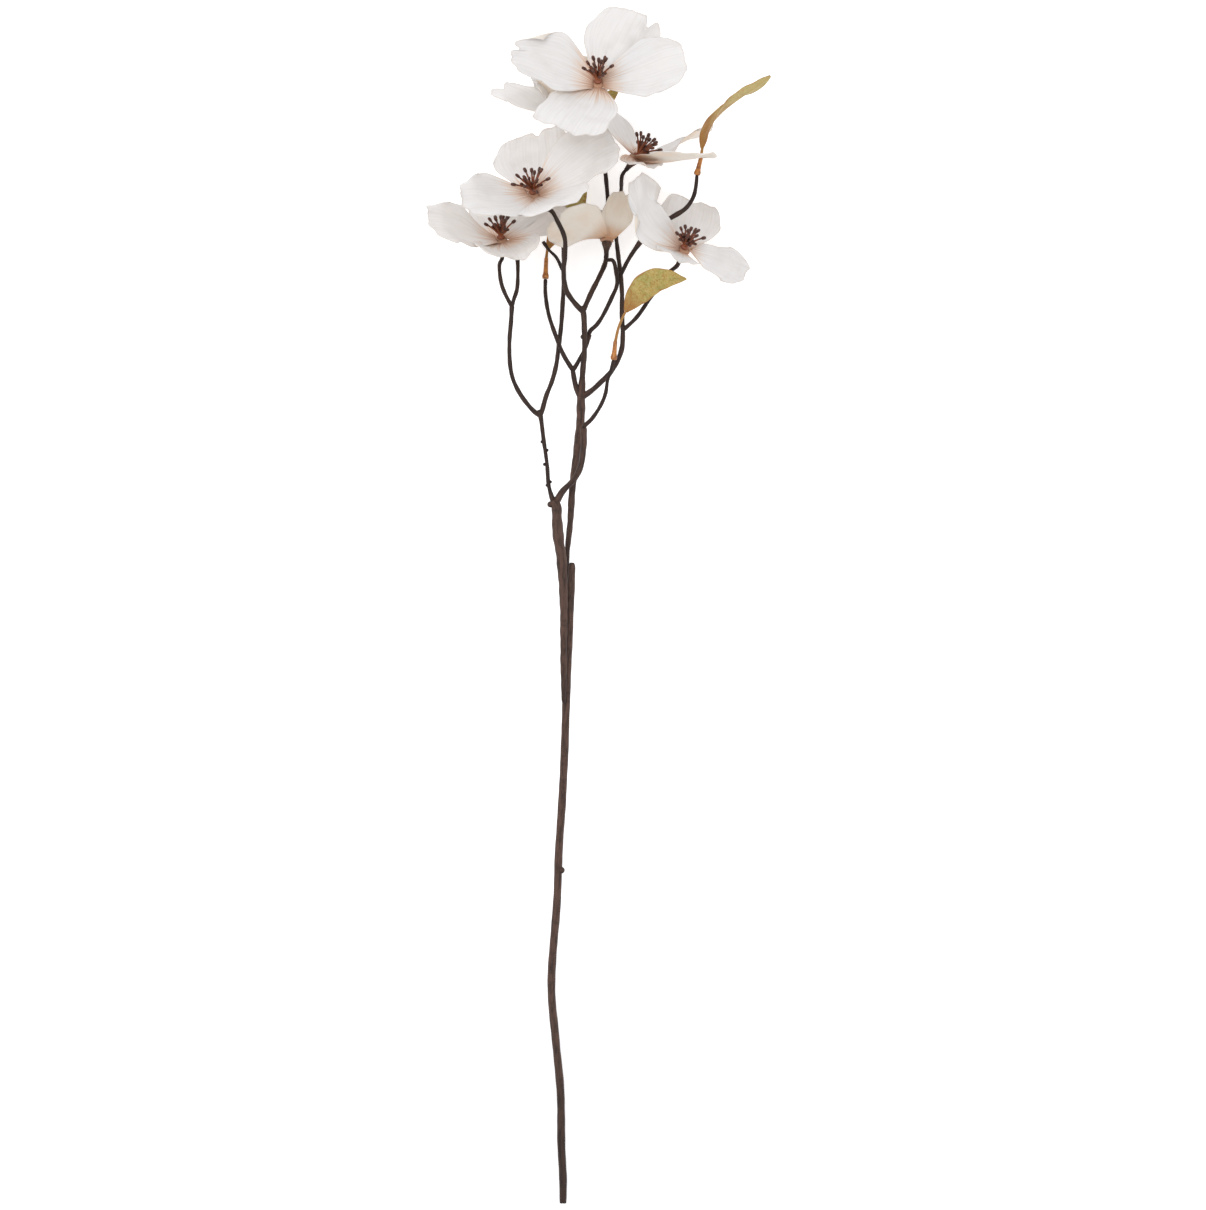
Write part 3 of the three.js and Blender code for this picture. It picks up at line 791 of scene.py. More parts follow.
@dataclass(frozen=True)
class Blossom:
    """One blossom: four fabric petals on a hub, and a bunch of stamens."""

    name: str
    centre: Triple
    faces: Triple
    petals: tuple[Petal, ...]
    count: int = 12
    tuft: int = 11
    fan: float = 42.0
    stamen_length: float = 15.0
    rows: int = 44
    columns: int = 40
    thickness: float = 0.45

    @property
    def middle(self) -> Array:
        """The middle of the hub."""
        return np.asarray(self.centre, float)

    @property
    def axis(self) -> Array:
        """The way the blossom faces."""
        return unit(self.faces)

    def below(self, distance: float) -> Triple:
        """Returns the place on the blossom's axis this far behind its hub."""
        place = self.middle - self.axis * distance
        return float(place[0]), float(place[1]), float(place[2])

    def build_petals(self, material: bpy.types.Material, order: int) -> bpy.types.Object:
        """Builds the four petals and their hub as one piece.

        Args:
            material: the petal cloth.
            order: the blossom's place in the list, which shifts its pattern.

        Returns:
            The piece.
        """
        def thickness(u: Array, v: Array) -> Array:
            """Thins the cloth towards its rim."""
            return self.thickness * (1.0 - 0.55 * smooth(0.93, 1.0, np.maximum(u, np.abs(v))))

        soup = Soup()
        along = np.concatenate([np.linspace(0.0, 0.975, self.rows), [0.99, 1.0]])
        across = np.sin(0.5 * math.pi * np.linspace(-1.0, 1.0, self.columns + 5))
        for index, petal in enumerate(self.petals):
            surface = petal.surface(self.middle, self.axis, index + 1)
            points, faces, u, v, sides = blade(surface, along, across, thickness)
            seed = 4.0 * index + 17.0 * order
            spread = 0.5 * PETAL_WIDTH * petal.width * v * MM
            run = u * PETAL_LENGTH * petal.length * MM
            cloth = np.stack([spread, run, 0.1 * (seed + sides)], -1)
            soup.add(points, faces, reach=u / petal.stain, across=v, under=sides, cloth=cloth,
                     seed=np.full(len(u), seed))
        rim = HUB_THICKNESS / 2
        levels = np.array([-rim, -rim * 0.96, -rim * 0.6, rim * 0.3, rim * 0.62])
        radii = np.array([0.4, HUB_RADIUS * 0.75, HUB_RADIUS * 0.97, HUB_RADIUS * 0.85, 0.5])
        points, faces, _, _ = tube(self.middle + self.axis * levels[:, None], radii,
                                   HUB_SIDES)
        still = np.zeros(len(points))
        soup.add(points, faces, reach=still, across=still, under=still,
                 cloth=points * MM, seed=still)
        return soup.piece(f"{self.name}_cloth", material, Slot.PETAL, f"{self.name}_petals")

    def build_stamens(self, material: bpy.types.Material) -> bpy.types.Object:
        """Builds the bunch of stamens.

        Each thread leaves a small dome and leans out on a golden-angle spiral. It bends further
        out along its length, and swells to a head near its end.

        Args:
            material: the stamen plastic.

        Returns:
            The piece.
        """
        soup = Soup()
        foot = HUB_THICKNESS / 2 + GAP
        dome = self.middle + self.axis * (np.array(DOME_LEVELS) + foot)[:, None]
        points, faces, _, _ = tube(dome, np.array(DOME_RADII), DOME_SIDES)
        soup.add(points, faces, reach=np.full(len(points), 0.5))
        side = unit(np.cross((1.0, 0.0, 0.0), self.axis))
        front = np.cross(self.axis, side)
        t = np.concatenate([np.linspace(0.0, 0.77, 9), np.linspace(0.79, 1.0, 10)])
        swell = np.sqrt(np.clip(1.0 - ((t - 0.895) / 0.105) ** 2, 0.0, 1.0))
        for number in range(self.count + self.tuft):
            tall_one = number < self.count
            rank = number if tall_one else number - self.count
            total = self.count if tall_one else self.tuft
            lean = math.radians(self.fan) * math.sqrt((rank + 0.5) / total)
            turn = rank * GOLDEN_ANGLE + (0.0 if tall_one else TUFT_TURN)
            length = self.stamen_length * (1.0 + 0.13 * math.sin(2.4 * rank))
            if not tall_one:
                length *= TUFT_LENGTH
            out = front * math.cos(turn) + side * math.sin(turn)
            bend = 0.22 * math.sin(1.7 * rank)
            angle = lean * (0.8 + 0.3 * t)
            start = self.middle + self.axis * (foot + 0.8)
            path = (start + self.axis * (np.cos(angle) * t * length)[:, None]
                    + out * (np.sin(angle) * t * length)[:, None]
                    + np.cross(self.axis, out) * (bend * t**2 * (1.2 - t) * length)[:, None])
            radii = 0.62 - 0.14 * t + (0.5 + 0.1 * math.sin(rank)) * swell
            radii[-1] = 0.2
            points, faces, _, run = tube(path, radii, THREAD_SIDES)
            soup.add(points, faces, reach=run / run.max())
        return soup.piece(f"{self.name}_threads", material, Slot.STAMEN, f"{self.name}_stamens")


BLOSSOMS: tuple[Blossom, ...] = (
    Blossom("bloom_1", (21.5, 658, 72), (0, 0.66, 0.75), (
        Petal((-51, 17, 12), curl=0.0, wave=0.3, spread=0.5, taper=0.3, sway=-0.13,
              notch_at=-0.25, notch_depth=0.08, notch_width=0.1),
        Petal((23.5, 45, -22), notch_at=-0.45, notch_depth=0.13, notch_width=0.1),
        Petal((53, 17, 8), length=0.98, notch_depth=0.02),
        Petal((-17, -23.5, 42), length=1.04, width=0.9, roundness=0.1, spread=0.42, taper=-0.05,
              notch_depth=0.03),
    ), fan=34, stamen_length=18),
    Blossom("bloom_2", (-17, 591.5, 76), (-0.12, 0.71, 0.71), (
        Petal((-42, -1, 32), length=0.96, skew=0.2, spread=0.45, notch_depth=0.03),
        Petal((-2.5, 41, -34), length=0.93, skew=-0.13, notch_at=-0.2, notch_depth=0.09,
              notch_width=0.1),
        Petal((50, 36, 8), length=1.05, width=0.95, roundness=0.25, spread=0.6, sway=0.07,
              notch_depth=0.02),
        Petal((18, -4, 50)),
    ), fan=48, stamen_length=17),
    Blossom("bloom_3", (-36.5, 564.5, 50), (-0.05, 0.85, 0.5), (
        Petal((-42, 14.5, 25), twist=-16, length=0.93, width=0.8, spread=0.5, sway=-0.06,
              notch_depth=0.03),
        Petal((5, 33.5, -40)),
        Petal((27, 19.5, -20), twist=8, length=0.9, width=0.82, spread=0.6),
        Petal((8, -8.5, 50), width=0.82, cup=0.4, spread=0.35, notch_depth=0.1, ruffle=2.5),
    )),
    Blossom("bloom_4", (44, 614, 40), (0.6, 0.77, 0.2), (
        Petal((-20, 36, -27), width=0.9),
        Petal((40, 19, -30), twist=-55),
        Petal((46, 4, 34), twist=12, length=0.97, width=0.9, stain=1.2),
        Petal((12, -5, 46), twist=30, length=0.6, width=0.52, spread=0.4, stain=2.6),
    ), fan=44),
    Blossom("bloom_5", (73, 559, 42), (0.3, 0.75, 0.6), (
        Petal((-27.5, 41, 24), twist=-30, width=0.57, spread=0.3, taper=0.05, waist=0.3,
              sway=0.15, notch_depth=0.03),
        Petal((7, 32, -38), length=0.95, width=0.82),
        Petal((38, -13, -34), twist=52, width=0.33, spread=0.1, taper=-0.35, notch_depth=0.03),
        Petal((-5, -4, 44), length=0.7, width=0.62),
    ), tuft=22),
    Blossom("bloom_6", (27, 565, 30), (0.05, 0.9, -0.3), (
        Petal((-26, 11, 22), twist=32, length=0.78, width=0.78),
        Petal((10, 27, 9), length=0.6, width=0.44, spread=0.6),
        Petal((-14, 24, -12), length=0.4, width=0.5),
        Petal((-2, 26, -14), length=0.42, width=0.45),
    ), count=9, fan=18, stamen_length=9),
    Blossom("bloom_7", (9, 638, 32), (0, 0.95, 0.2), (
        Petal((-46, 22, -22), width=1.1),
        Petal((-3.5, 33, 16), length=0.8),
        Petal((-13, 29, -20), length=0.9, width=0.75),
        Petal((-26.5, 33, 0), length=0.6),
    ), fan=24, stamen_length=13),
)


# Branches

CUP_HEIGHT = 8.0
CUP_LEVELS = (-8.0, -6.5, -5.0, -3.2, -1.8, -0.7, -0.1, 0.0)  # along its axis, from its mouth
CUP_RADII = (1.3, 1.45, 1.7, 2.2, 2.8, 3.15, 3.1, 2.4)
RING_SPACING = 1.4
KNOT_SIDES = 12
GRAIN_RADIUS = 2.0  # the bark's pattern is wound on a rod of this radius
THIN_SHADED_LIMB = 1.0  # a limb of this radius is coloured dark, as painted shade
THICK_LIMB = 2.4  # and one of this radius pale


def blossom_named(name: str) -> Blossom:
    """Returns the blossom of this name."""
    return next(blossom for blossom in BLOSSOMS if blossom.name == name)


def knobbly(path: Array, broad: float, broad_mm: float, fine: float, fine_mm: float,
            shift: float = 0.0) -> Array:
    """Returns how much thicker a rod is at each ring: a slow sine and a quick one.

    Args:
        path: the ring centres.
        broad: the slow sine's share of the radius.
        broad_mm: the slow sine's wavelength over two pi.
        fine: the quick sine's share of the radius.
        fine_mm: the quick sine's wavelength over two pi.
        shift: moves the sines along, the quick one twice as far.

    Returns:
        A factor for each ring's radius.
    """
    steps = np.concatenate([[0.0], np.cumsum(np.linalg.norm(np.diff(path, axis=0), axis=1))])
    knobs = broad * np.sin(steps / broad_mm + shift) + fine * np.sin(steps / fine_mm + 2.0 * shift)
    return 1.0 + knobs


@dataclass(frozen=True)
class Limb:
    """A tapering round rod along a smooth curve. It may end in a blossom's cup."""

    points: tuple[Triple, ...]
    radii: tuple[float, ...]
    blossom: str = ""

    def route(self) -> tuple[Triple, ...]:
        """Returns the points, carried on to the blossom's cup where there is one."""
        if not self.blossom:
            return self.points
        bloom = blossom_named(self.blossom)
        drop = HUB_THICKNESS / 2 + GAP + CUP_HEIGHT
        return (*self.points, bloom.below(drop + 3.0), bloom.below(drop - 1.0))

    def add_to(self, soup: Soup, number: int, sides: int) -> None:
        """Adds the limb, and its cup, to a branch's mesh.

        The radius runs evenly through the list of radii. Slow and quick sines along the length
        make it knobbly, and its two end rings are drawn in a little.

        Args:
            soup: the branch's mesh so far.
            number: the limb's number, which shifts its knobs.
            sides: how many corners a ring has.
        """
        path = through(self.route(), RING_SPACING)
        share = np.linspace(0.0, 1.0, len(path))
        radii = np.interp(share, np.linspace(0.0, 1.0, len(self.radii)), self.radii)
        radii = radii * knobbly(path, 0.05, 3.1, 0.04, 1.3, number)
        radii[0] *= 0.85
        radii[-1] *= 0.9
        add_rod(soup, path, radii, sides)
        if self.blossom:
            bloom = blossom_named(self.blossom)
            levels = np.array(CUP_LEVELS) - HUB_THICKNESS / 2 - GAP
            cup = bloom.middle + bloom.axis * levels[:, None]
            add_rod(soup, cup, np.array(CUP_RADII), sides)


@dataclass(frozen=True)
class Knot:
    """A small raised scar on a branch."""

    place: Triple
    radius: float

    def add_to(self, soup: Soup) -> None:
        """Adds the knot as a flattened ball, its rings spread as the cosine of a half turn."""
        angle = np.linspace(0.12, math.pi - 0.12, 9)
        levels = np.outer(-np.cos(angle) * self.radius, (0.0, 1.0, 0.0))
        path = np.asarray(self.place, float) + levels
        add_rod(soup, path, np.sin(angle) * self.radius, KNOT_SIDES)


def add_rod(soup: Soup, path: Array, radii: Array, sides: int,
            grain_start: float | None = None) -> None:
    """Adds a rod with the values that the bark's pattern reads, none of it under the floor.

    Args:
        soup: the branch's mesh so far.
        path: the ring centres.
        radii: a radius for each ring.
        sides: how many corners a ring has.
        grain_start: where along the grain the rod begins. Left out, it is the first ring's y.
    """
    points, faces, turn, run = tube(path, radii, sides)
    points[:, 2] = np.maximum(points[:, 2], 0.0)
    girth = np.concatenate([np.repeat(radii, sides), radii[[0, -1]]])
    along = run + (path[0, 1] if grain_start is None else grain_start)
    grain = np.stack([np.cos(turn) * GRAIN_RADIUS, np.sin(turn) * GRAIN_RADIUS, along], -1) * MM
    # The girth share paints thin limbs darker in the bark: painted shade
    soup.add(points, faces, grain=grain, girth=smooth(THIN_SHADED_LIMB, THICK_LIMB, girth))


@dataclass(frozen=True)
class Branch:
    """One moulded branch: limbs that run into each other, and the knots on them."""

    node: str
    limbs: tuple[Limb, ...]
    knots: tuple[Knot, ...] = ()
    sides: int = 14

    def build(self, material: bpy.types.Material) -> bpy.types.Object:
        """Builds the branch as one piece with the bark coating."""
        soup = Soup()
        for number, limb in enumerate(self.limbs):
            limb.add_to(soup, number, self.sides)
        for knot in self.knots:
            knot.add_to(soup)
        return soup.piece(f"{self.node}_bark", material, Slot.BARK, self.node)


@dataclass(frozen=True)
class CoredStem(Branch):
    """The main stem, with a hole for its wire core at the cut end."""

    sides: int = 20
    bore_radius: float = 1.3
    bore_depth: float = 6.0
    lip_radii: tuple[float, float] = (1.75, 1.98)

    def build(self, material: bpy.types.Material) -> bpy.types.Object:
        """Builds the stem: its rings run from the bottom of the hole out over the cut end."""
        soup = Soup()
        path = through(self.limbs[0].points, RING_SPACING)
        share = np.linspace(0.0, 1.0, len(path))
        radii = np.interp(share, [0.0, 0.045, 0.955, 1.0], self.limbs[0].radii)
        radii = radii * knobbly(path, 0.025, 5.3, 0.02, 1.9)
        radii[-2:] *= (0.93, 0.62)
        inside = path[0] + unit(path[1] - path[0]) * np.array([self.bore_depth, 0.2])[:, None]
        path = np.concatenate([inside, path[:1], path[:1] + (path[1] - path[0]) * 0.1, path[1:]])
        radii = np.concatenate([[self.bore_radius] * 2, self.lip_radii, radii[1:]])
        add_rod(soup, path, radii, self.sides, grain_start=0.0)
        for knot in self.knots:
            knot.add_to(soup)
        return soup.piece(f"{self.node}_bark", material, Slot.BARK, self.node)


MAIN_STEM = CoredStem("main_stem", (
    Limb(((0.5, -15, 2.15), (0.5, 0, 2.1), (-0.5, 20, 2.2), (-1, 52, 3), (-4, 84.5, 4.6),
          (-6.5, 116, 7), (-3, 169, 11.5), (-2, 197, 14.2), (0, 227.5, 17.5), (1.5, 258, 21),
          (2.5, 288.5, 24.5), (4, 324, 28.5), (5, 348.5, 31.5), (6, 371, 34)),
         (2.0, 2.4, 2.4, 2.1)),
), (Knot((-0.5, 186, 14), 2.1),))

LEFT_STEM = Branch("left_stem", (
    Limb(((1, 287, 28.6), (1, 300.5, 30.2), (1, 324, 32.6), (1, 348.5, 35.5), (0.5, 360.5, 36.8),
          (-0.5, 375, 38), (-2, 384.5, 38.5), (-3, 396.5, 39), (-3.5, 405, 39.4),
          (-5.5, 408.5, 39.8)),
         (1.2, 1.9, 2.1, 2.2, 2.5, 2.9, 3.2, 3.3, 2.9)),
    Limb(((-3.5, 404, 39.4), (-6, 410, 40), (-8, 417.5, 41), (-9, 430, 42.4), (-11, 444.5, 44),
          (-13, 459.5, 45.5), (-14, 462.5, 46)), (1.9, 1.3, 1.2, 1.2, 1.3, 1.6)),
    Limb(((-13, 459, 45.5), (-17, 462, 46), (-24, 470.5, 47), (-29, 480, 48), (-31, 488.5, 48.5),
          (-31.5, 503.5, 49.5), (-30.5, 516.5, 50), (-30, 525.5, 50.5)),
         (1.5, 1.4, 1.3, 1.3, 1.3, 1.5)),
    Limb(((-30, 524.5, 50.5), (-34, 532, 50), (-36.5, 539, 49), (-37.5, 550, 47)),
         (1.3, 1.2, 1.2), "bloom_3"),
    Limb(((-30, 524.5, 50.5), (-29, 528.5, 50.5), (-27, 535, 48.5), (-26.5, 548, 43),
          (-27, 557.5, 38)), (1.3, 1.2, 1.15, 1.5)),
    Limb(((-13, 459, 45.5), (-12, 462, 45), (-9.5, 471, 43.5), (-6, 480, 42), (-3.5, 489.5, 40.5),
          (-2, 501, 38.5), (-0.5, 513.5, 36.5), (0.5, 528.5, 34.5), (1, 537, 33), (1, 548, 29),
          (1, 557.5, 20), (0.5, 567, 12.5), (0.5, 576.5, 10), (2.5, 591, 11), (6.5, 609.5, 17)),
         (1.5, 1.4, 1.4, 1.4, 1.35, 1.3, 1.2, 1.2), "bloom_7"),
    Limb(((0.5, 546.5, 29.5), (-3.5, 554.5, 32.5), (-8, 559, 33), (-11.5, 564, 33)),
         (1.1, 1.0, 0.9, 1.2)),
    Limb(((-3.5, 407.5, 39.5), (0.5, 414, 41.5), (7.2, 421, 44), (11.2, 428.5, 45.5),
          (12.9, 440, 46), (13, 452, 46)), (2.2, 1.8, 1.7, 1.8, 2.1)),
), (
    Knot((-7, 406, 39.8), 1.9), Knot((-9, 417.5, 41), 1), Knot((-7, 419.5, 41.1), 1),
    Knot((-10.5, 430, 42.4), 1), Knot((-9, 438.5, 43.3), 1), Knot((-12, 443.5, 43.9), 1),
))

MIDDLE_STEM = Branch("middle_stem", (
    Limb(((2.5, 324, 24.4), (3, 348.5, 27.4), (3, 360.5, 28.6), (3, 375, 30), (5, 396.5, 32),
          (6, 413.5, 33.5), (7, 422, 34.2), (9, 438.5, 36), (11, 455.5, 38), (11.5, 473.5, 40)),
         (1.2, 1.5, 1.5, 1.6, 1.95, 2.1, 2.3, 2.6, 2.5)),
    Limb(((11.5, 471, 40), (12.5, 486.5, 42), (13.5, 499, 43.5), (13.5, 508, 44.5),
          (13, 520, 46), (12, 525, 46.4)), (2.5, 1.75, 1.6, 1.6, 1.9)),
    Limb(((12.5, 521.5, 46.2), (7, 527.5, 47.5), (2.5, 534.5, 51), (1, 545.5, 57), (2, 557.5, 63),
          (1.5, 566, 66.5), (-2.5, 575, 69), (-7, 582, 70)), (1.7, 1.5, 1.4, 1.35, 1.3), "bloom_2"),
    Limb(((12.5, 521.5, 46.2), (14, 525, 45.5), (17.5, 533, 42), (22, 542, 35.5), (26, 551.5, 28),
          (27, 562, 20), (27.5, 575.5, 15), (27.5, 588.5, 15), (26, 606, 24), (23.5, 627.5, 43)),
         (1.6, 1.5, 1.4, 1.3, 1.3, 1.2, 1.2), "bloom_1"),
    Limb(((23.8, 624, 40), (24.2, 629.5, 43), (24.6, 634, 46.5)), (1.1, 1.0)),
    Limb(((11, 470, 40), (9.5, 473.5, 40.5), (8, 478, 41), (6, 489, 42)), (1.8, 1.5, 1.5)),
    Limb(((6.5, 486.5, 42), (1, 495.5, 43), (-3.5, 506.5, 43.5), (-8, 520, 40), (-10, 533, 34.5),
          (-10, 541, 31)), (1.4, 1.3, 1.2, 1.2)),
    Limb(((6.5, 486.5, 42), (8.5, 489.5, 41), (11.5, 495, 40), (14, 500, 39), (16, 508, 38)),
         (1.4, 1.2, 1.2, 1.9)),
    Limb(((11.5, 470, 40), (18, 474.5, 41.5), (24, 480, 43), (29, 485, 44), (33.5, 492.5, 44.5),
          (36, 500, 44.5), (36.5, 508, 44.5), (36.5, 513.5, 44.5)), (1.9, 1.6, 1.5, 1.5, 1.5)),
    Limb(((36.5, 510.5, 44.5), (40, 513.5, 44), (45, 518.5, 43.5), (51, 527, 42.5),
          (54.5, 532, 41.5), (62, 543.5, 38.5)), (1.3, 1.2, 1.25, 1.3), "bloom_5"),
    Limb(((36.5, 510.5, 44.5), (36, 520, 43), (36, 533, 39), (35, 545.5, 32), (33.5, 558, 23),
          (32.5, 569.5, 12), (33.5, 581, 11), (34.5, 588, 15), (35.5, 595, 24)),
         (1.5, 1.4, 1.3, 1.2, 1.2), "bloom_4"),
    Limb(((35, 543, 33.5), (39, 551.5, 35), (43, 558, 36.5), (48, 565, 37.5)), (1.2, 1.2, 1.8)),
), (Knot((12.5, 506.5, 44.4), 1.5),))

BLOOM_TWIG = Branch("bloom_6_twig", (
    Limb(((15.8, 507.4, 38), (17, 510.3, 37.8), (20.5, 513.5, 37.7), (24, 518.5, 37.5),
          (30, 530.5, 38), (33, 538, 38), (32.5, 545.5, 37.5), (30.5, 552.5, 37)),
         (1.3, 1.25, 1.2), "bloom_6"),
))


# Leaves

# A sleeve's rings: how far each stands past the sleeve's first place, or past its second for
# the last two, and its radius
SLEEVE_LEVELS = (-0.4, -0.25, 0.9, 1.7, 2.4, 3.4, 5.0, 7.5)
SLEEVE_MOUTH = (-0.6, 0.5)
SLEEVE_RADII = (1.4, 1.85, 2.05, 2.0, 1.75, 1.5, 1.4, 1.3, 1.25, 1.05)
SLEEVE_SIDES = 20
STALK_SIDES = 12
STALK_RUN = 0.12  # how far the stalk runs on under the blade, of the whole route


@dataclass(frozen=True)
class Leaf:
    """One leaf: a folded fabric blade on a stalk, with the sleeve and twig that hold it."""

    name: str
    route: tuple[Triple, ...]
    face: Triple
    width: float
    stalk: float
    start: float = 0.0
    turn: float = 0.0
    fold: float = 0.25
    stain: float = 1.0
    twig: Limb | None = None
    sleeve: tuple[Triple, Triple] | None = None
    rows: int = 70
    thickness: float = 0.5

    def build(self, finishes: Finishes) -> None:
        """Builds the leaf's pieces.

        Args:
            finishes: the stem's finishes.
        """
        self.build_blade(finishes.leaf)
        if self.sleeve:
            self.build_sleeve(finishes.sleeve)
        if self.twig:
            Branch(f"{self.name}_twig", (self.twig,)).build(finishes.bark)

    def build_blade(self, material: bpy.types.Material) -> bpy.types.Object:
        """Builds the blade and its stalk.

        The blade follows the route from the stalk's end to the tip. Its half width swells and
        closes as a power of a sine, its two halves lean up from the midrib by the fold, and a
        slow wave and finer crimps run along its edges. Its stain says how far the rust reaches.

        Args:
            material: the leaf cloth.

        Returns:
            The piece.
        """
        path = through(self.route, 0.5)
        slope = unit(np.gradient(path, axis=0))
        places = np.linspace(0.0, 1.0, len(path))

        def on(values: Array, t: Array) -> Array:
            """Reads rows of values at the shares t of the route."""
            return np.stack([np.interp(t, places, values[:, axis]) for axis in range(3)], -1)

        def surface(u: Array, v: Array) -> Array:
            """Works the blade out for arrays of u and v."""
            t = self.stalk + (1.0 - self.stalk) * u
            along = unit(on(slope, t))
            flat = unit(np.cross(unit(self.face), along))
            up = np.cross(along, flat)
            angle = np.radians(self.start + self.turn * u)[..., None]
            side = flat * np.cos(angle) + up * np.sin(angle)
            normal = np.cross(along, side)
            swell = np.sin(math.pi * np.minimum(1.0, 0.01 + 0.99 * u) ** 0.92)
            swell = np.clip(swell, 0.0, 1.0) ** 0.9
            half = 0.5 * self.width * (0.05 + 0.95 * swell)
            half = half * (1.0 + 0.02 * np.sin(31.0 * u + 2.0 * np.sign(v)))
            waves = 0.5 * np.sin(9.0 * u + 3.0 * v)
            waves = waves + 0.18 * np.sin(34.0 * u + 5.0 * v) * np.abs(v)
            lift = self.fold * half * np.abs(v) + waves * np.abs(v)
            return on(path, t) + side * (half * v)[..., None] + normal * lift[..., None]

        def thickness(u: Array, v: Array) -> Array:
            """Thins the cloth towards its side edges."""
            return self.thickness * (1.0 - 0.5 * smooth(0.9, 1.0, np.abs(v)) * (u > 0.02))

        along = np.linspace(0.0, 1.0, self.rows)
        across = np.concatenate([[-1.0, -0.96], np.linspace(-0.9, 0.9, 21), [0.96, 1.0]])
        points, faces, u, v, sides = blade(surface, along, across, thickness)
        length = float(np.linalg.norm(np.diff(path, axis=0), axis=1).sum())
        cloth = np.stack([v * 0.5 * self.width, u * length, sides * 5.0 + self.width], -1) * MM
        soup = Soup()
        soup.add(points, faces, reach=u / self.stain, across=v, under=sides, cloth=cloth)
        until = self.stalk + STALK_RUN
        stem = on(path, np.linspace(0.0, until, max(8, int(until * length))))
        thick = np.interp(np.linspace(0.0, 1.0, len(stem)), (0.0, 0.5, 1.0), (0.95, 0.8, 0.45))
        points, faces, _, _ = tube(stem, thick, STALK_SIDES)
        soup.add(points, faces, reach=np.zeros(len(points)), across=np.full(len(points), 0.5),
                 under=np.zeros(len(points)), cloth=points * MM)
        return soup.piece(f"{self.name}_cloth", material, Slot.LEAF, self.name)

    def build_sleeve(self, material: bpy.types.Material) -> bpy.types.Object:
        """Builds the sleeve: a narrowing tube with a rolled foot.

        Its foot is slipped over the twig's end and its mouth over the foot of the leaf's stalk.

        Args:
            material: the sleeve plastic.

        Returns:
            The piece.
        """
        start, end = (np.asarray(place, float) for place in self.sleeve)
        length = float(np.linalg.norm(end - start))
        levels = np.array([*SLEEVE_LEVELS, *(length + level for level in SLEEVE_MOUTH)])
        path = start + unit(end - start) * levels[:, None]
        soup = Soup()
        points, faces, _, _ = tube(path, np.array(SLEEVE_RADII), SLEEVE_SIDES)
        soup.add(points, faces)
        return soup.piece(f"{self.name}_tube", material, Slot.SLEEVE, f"{self.name}_sleeve")


LEAVES: tuple[Leaf, ...] = (
    Leaf("leaf_1",
         ((83.5, 614.5, 42), (84.5, 621.5, 42), (87, 630, 43), (96, 641, 45), (107.5, 650, 47),
          (116.5, 656, 48), (125, 663, 48)),
         (-0.8, 0.5, 0.3), width=20, stalk=0.08, start=22, turn=-88, stain=2.1,
         twig=Limb(((47.8, 564.8, 37.5), (49, 566.5, 37.6), (56, 572.5, 37), (66, 578.5, 36),
                    (74.5, 584, 37), (79, 591, 39), (80.5, 598, 41), (81, 604, 42)),
                   (1.1, 1.2, 1.5, 1.2, 1.1)),
         sleeve=((81, 604, 42), (83.5, 614.5, 42))),
    Leaf("leaf_2",
         ((32, 503.5, 56), (34, 512, 57.5), (38, 521, 59), (44.5, 530.5, 60.5), (53, 538, 61),
          (63, 541, 60), (74.5, 541, 57)),
         (0.15, 0.35, 0.9), width=16, stalk=0.3,
         twig=Limb(((13, 451.6, 46), (13.6, 453.2, 46.2), (17.2, 456.5, 47), (22.5, 464, 49),
                    (26, 472, 51), (27.5, 481, 53), (29.5, 486.5, 54), (31, 493, 55)),
                   (1.3, 1.2, 1.1, 1.0)),
         sleeve=((31, 493, 55), (32, 503.5, 56))),
    Leaf("leaf_3",
         ((-9.5, 554, 28.5), (-8.5, 560.5, 26), (-5, 568, 22), (0.5, 576, 18.5), (6.5, 585.5, 18),
          (9.5, 594.5, 19), (9, 602, 21), (2.5, 610, 21.5)),
         (0.5, 0.2, 0.8), width=14, stalk=0.08, sleeve=((-10, 542, 31), (-9.5, 554, 28.5))),
    Leaf("leaf_4", ((25.1, 635, 47), (25.6, 641, 49.5), (28, 648.5, 52), (34.5, 656.5, 53.5)),
         (-0.3, 0.2, 0.9), width=8, stalk=0.15),
)


# Studio


@dataclass(frozen=True)
class SoftBox:
    """A large soft light that looks at the stem. Its place and size are metres."""

    name: str
    place: Triple
    size: float
    watts: float

    def build(self) -> None:
        """Adds the light, turned towards the middle of the stem."""
        lamp = bpy.data.lights.new(self.name, "AREA")
        lamp.shape = "SQUARE"
        lamp.size = self.size
        lamp.energy = self.watts
        holder = bpy.data.objects.new(self.name, lamp)
        holder.location = self.place
        target = Vector([along * MM for along in LIGHT_TARGET])
        holder.rotation_euler = (target - holder.location).to_track_quat("-Z", "Y").to_euler()
        bpy.context.scene.collection.objects.link(holder)


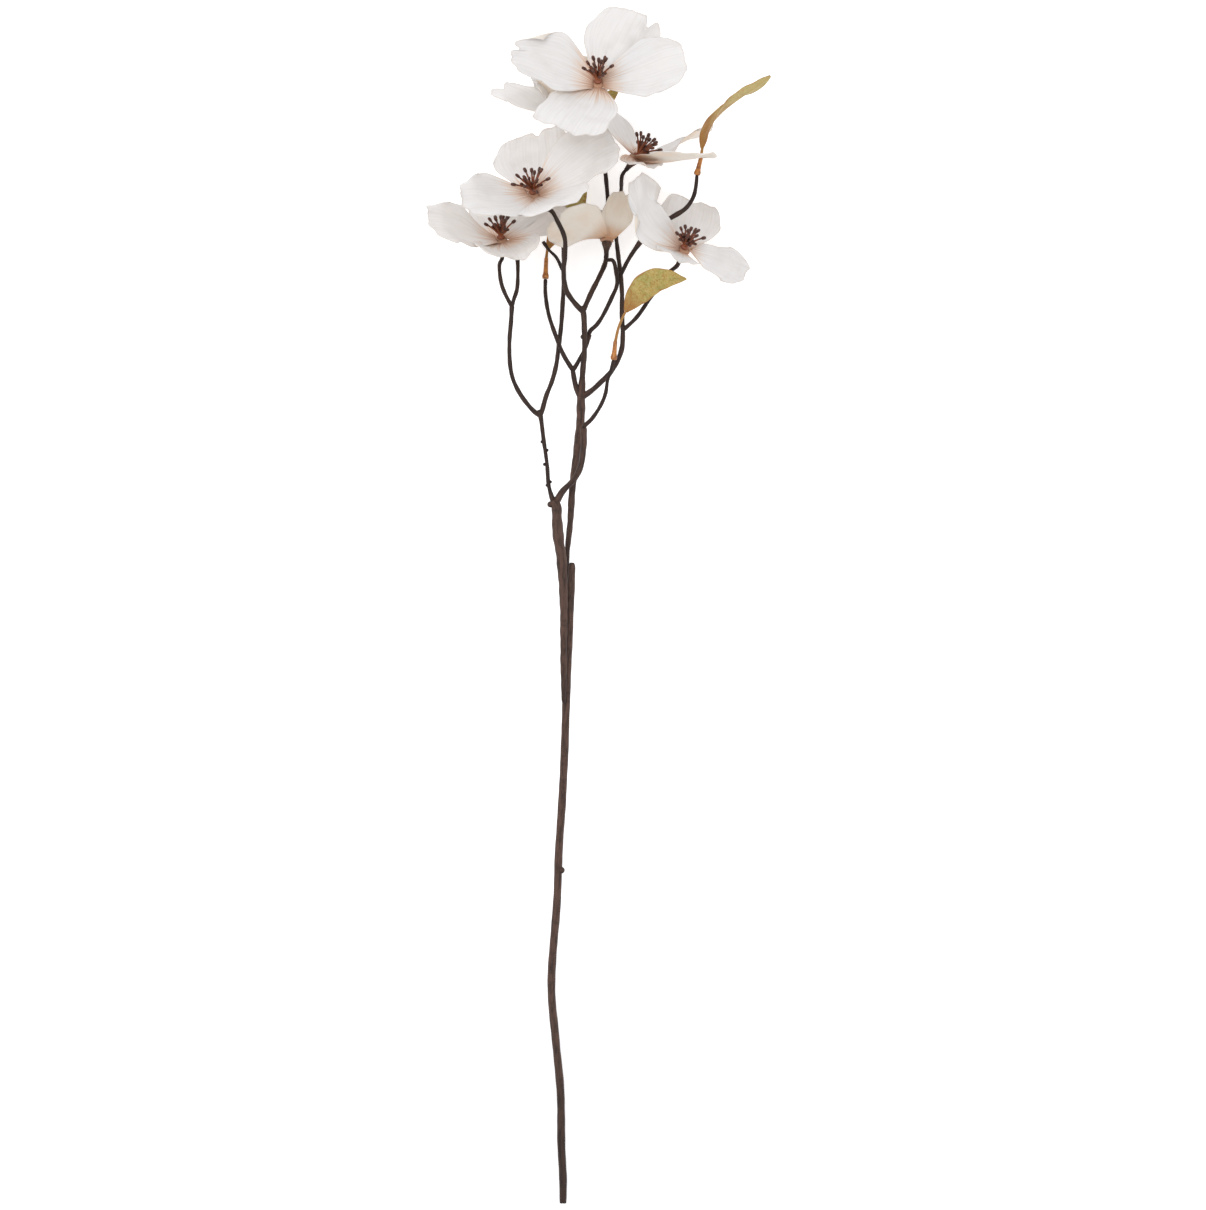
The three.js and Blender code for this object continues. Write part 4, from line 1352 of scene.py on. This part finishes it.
@dataclass(frozen=True)
class Studio:
    """The plain pale floor, its soft light, and the camera that looks straight down."""

    floor_half_width: float = 3.0  # metres
    floor_drop: float = 0.3  # millimetres under the stem
    floor_colour: str = "#f6f6f7"
    floor_glow: float = 0.45
    sky_colour: str = "#fbfbfc"
    sky: float = 0.75
    lights: tuple[SoftBox, ...] = (
        SoftBox("key", (-0.9, 1.3, 2.4), 1.8, 30.0),
        SoftBox("fill", (1.6, -0.4, 2.2), 2.2, 14.0),
    )

    def build(self) -> None:
        """Builds the floor, the lights and the camera."""
        self.build_floor()
        for light in self.lights:
            light.build()
        world = bpy.data.worlds.new("pale_room")
        world.use_nodes = True
        backdrop = world.node_tree.nodes["Background"]
        backdrop.inputs["Color"].default_value = linear(self.sky_colour)
        backdrop.inputs["Strength"].default_value = self.sky
        bpy.context.scene.world = world
        self.build_camera()

    def build_floor(self) -> None:
        """Adds a flat pale floor just under the stem. It glows a little, like a light table."""
        half, depth = self.floor_half_width, -self.floor_drop * MM
        mesh = bpy.data.meshes.new("floor")
        corners = [(-half, -half, depth), (half, -half, depth),
                   (half, half, depth), (-half, half, depth)]
        mesh.from_pydata(corners, [], [(0, 1, 2, 3)])
        material, tree, shader = blank_material("floor_paper")
        link(tree, shader, {"Base Color": linear(self.floor_colour), "Roughness": 0.9,
                            "Specular IOR Level": 0.1, "Emission Color": linear(self.floor_colour),
                            "Emission Strength": self.floor_glow})
        mesh.materials.append(material)
        floor = bpy.data.objects.new("floor", mesh)
        bpy.context.scene.collection.objects.link(floor)

    def build_camera(self) -> None:
        """Adds the camera: its lens gives the photograph's scale at the blossoms' height."""
        camera = bpy.data.cameras.new("camera")
        camera.sensor_width = SENSOR_WIDTH
        distance = CAMERA_HEIGHT - BLOSSOM_HEIGHT
        camera.lens = camera.sensor_width * distance / (PHOTO_HEIGHT_PX * MM_PER_PX)
        camera.clip_end = CAMERA_REACH * MM
        holder = bpy.data.objects.new("camera", camera)
        holder.location = (VIEW_CENTRE[0] * MM, VIEW_CENTRE[1] * MM, CAMERA_HEIGHT * MM)
        bpy.context.scene.collection.objects.link(holder)
        bpy.context.scene.camera = holder


def main() -> None:
    logging.basicConfig(level=logging.INFO, format="%(name)s: %(message)s")
    bpy.context.scene.view_settings.view_transform = "Standard"
    finishes = Finishes(
        petal=PetalFabric().material(),
        stamen=StamenPlastic().material(),
        bark=BarkCoating().material(),
        leaf=LeafFabric().material(),
        sleeve=SleevePlastic().material(),
        wire=WireSteel().material(),
    )
    for branch in (MAIN_STEM, LEFT_STEM, MIDDLE_STEM, BLOOM_TWIG):
        branch.build(finishes.bark)
    for order, blossom in enumerate(BLOSSOMS):
        blossom.build_petals(finishes.petal, order)
        blossom.build_stamens(finishes.stamen)
    for leaf in LEAVES:
        leaf.build(finishes)
    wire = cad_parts["stem_wire"]
    wire.data.materials.clear()
    wire.data.materials.append(finishes.wire)
    Studio().build()


if __name__ == "__main__":
    main()
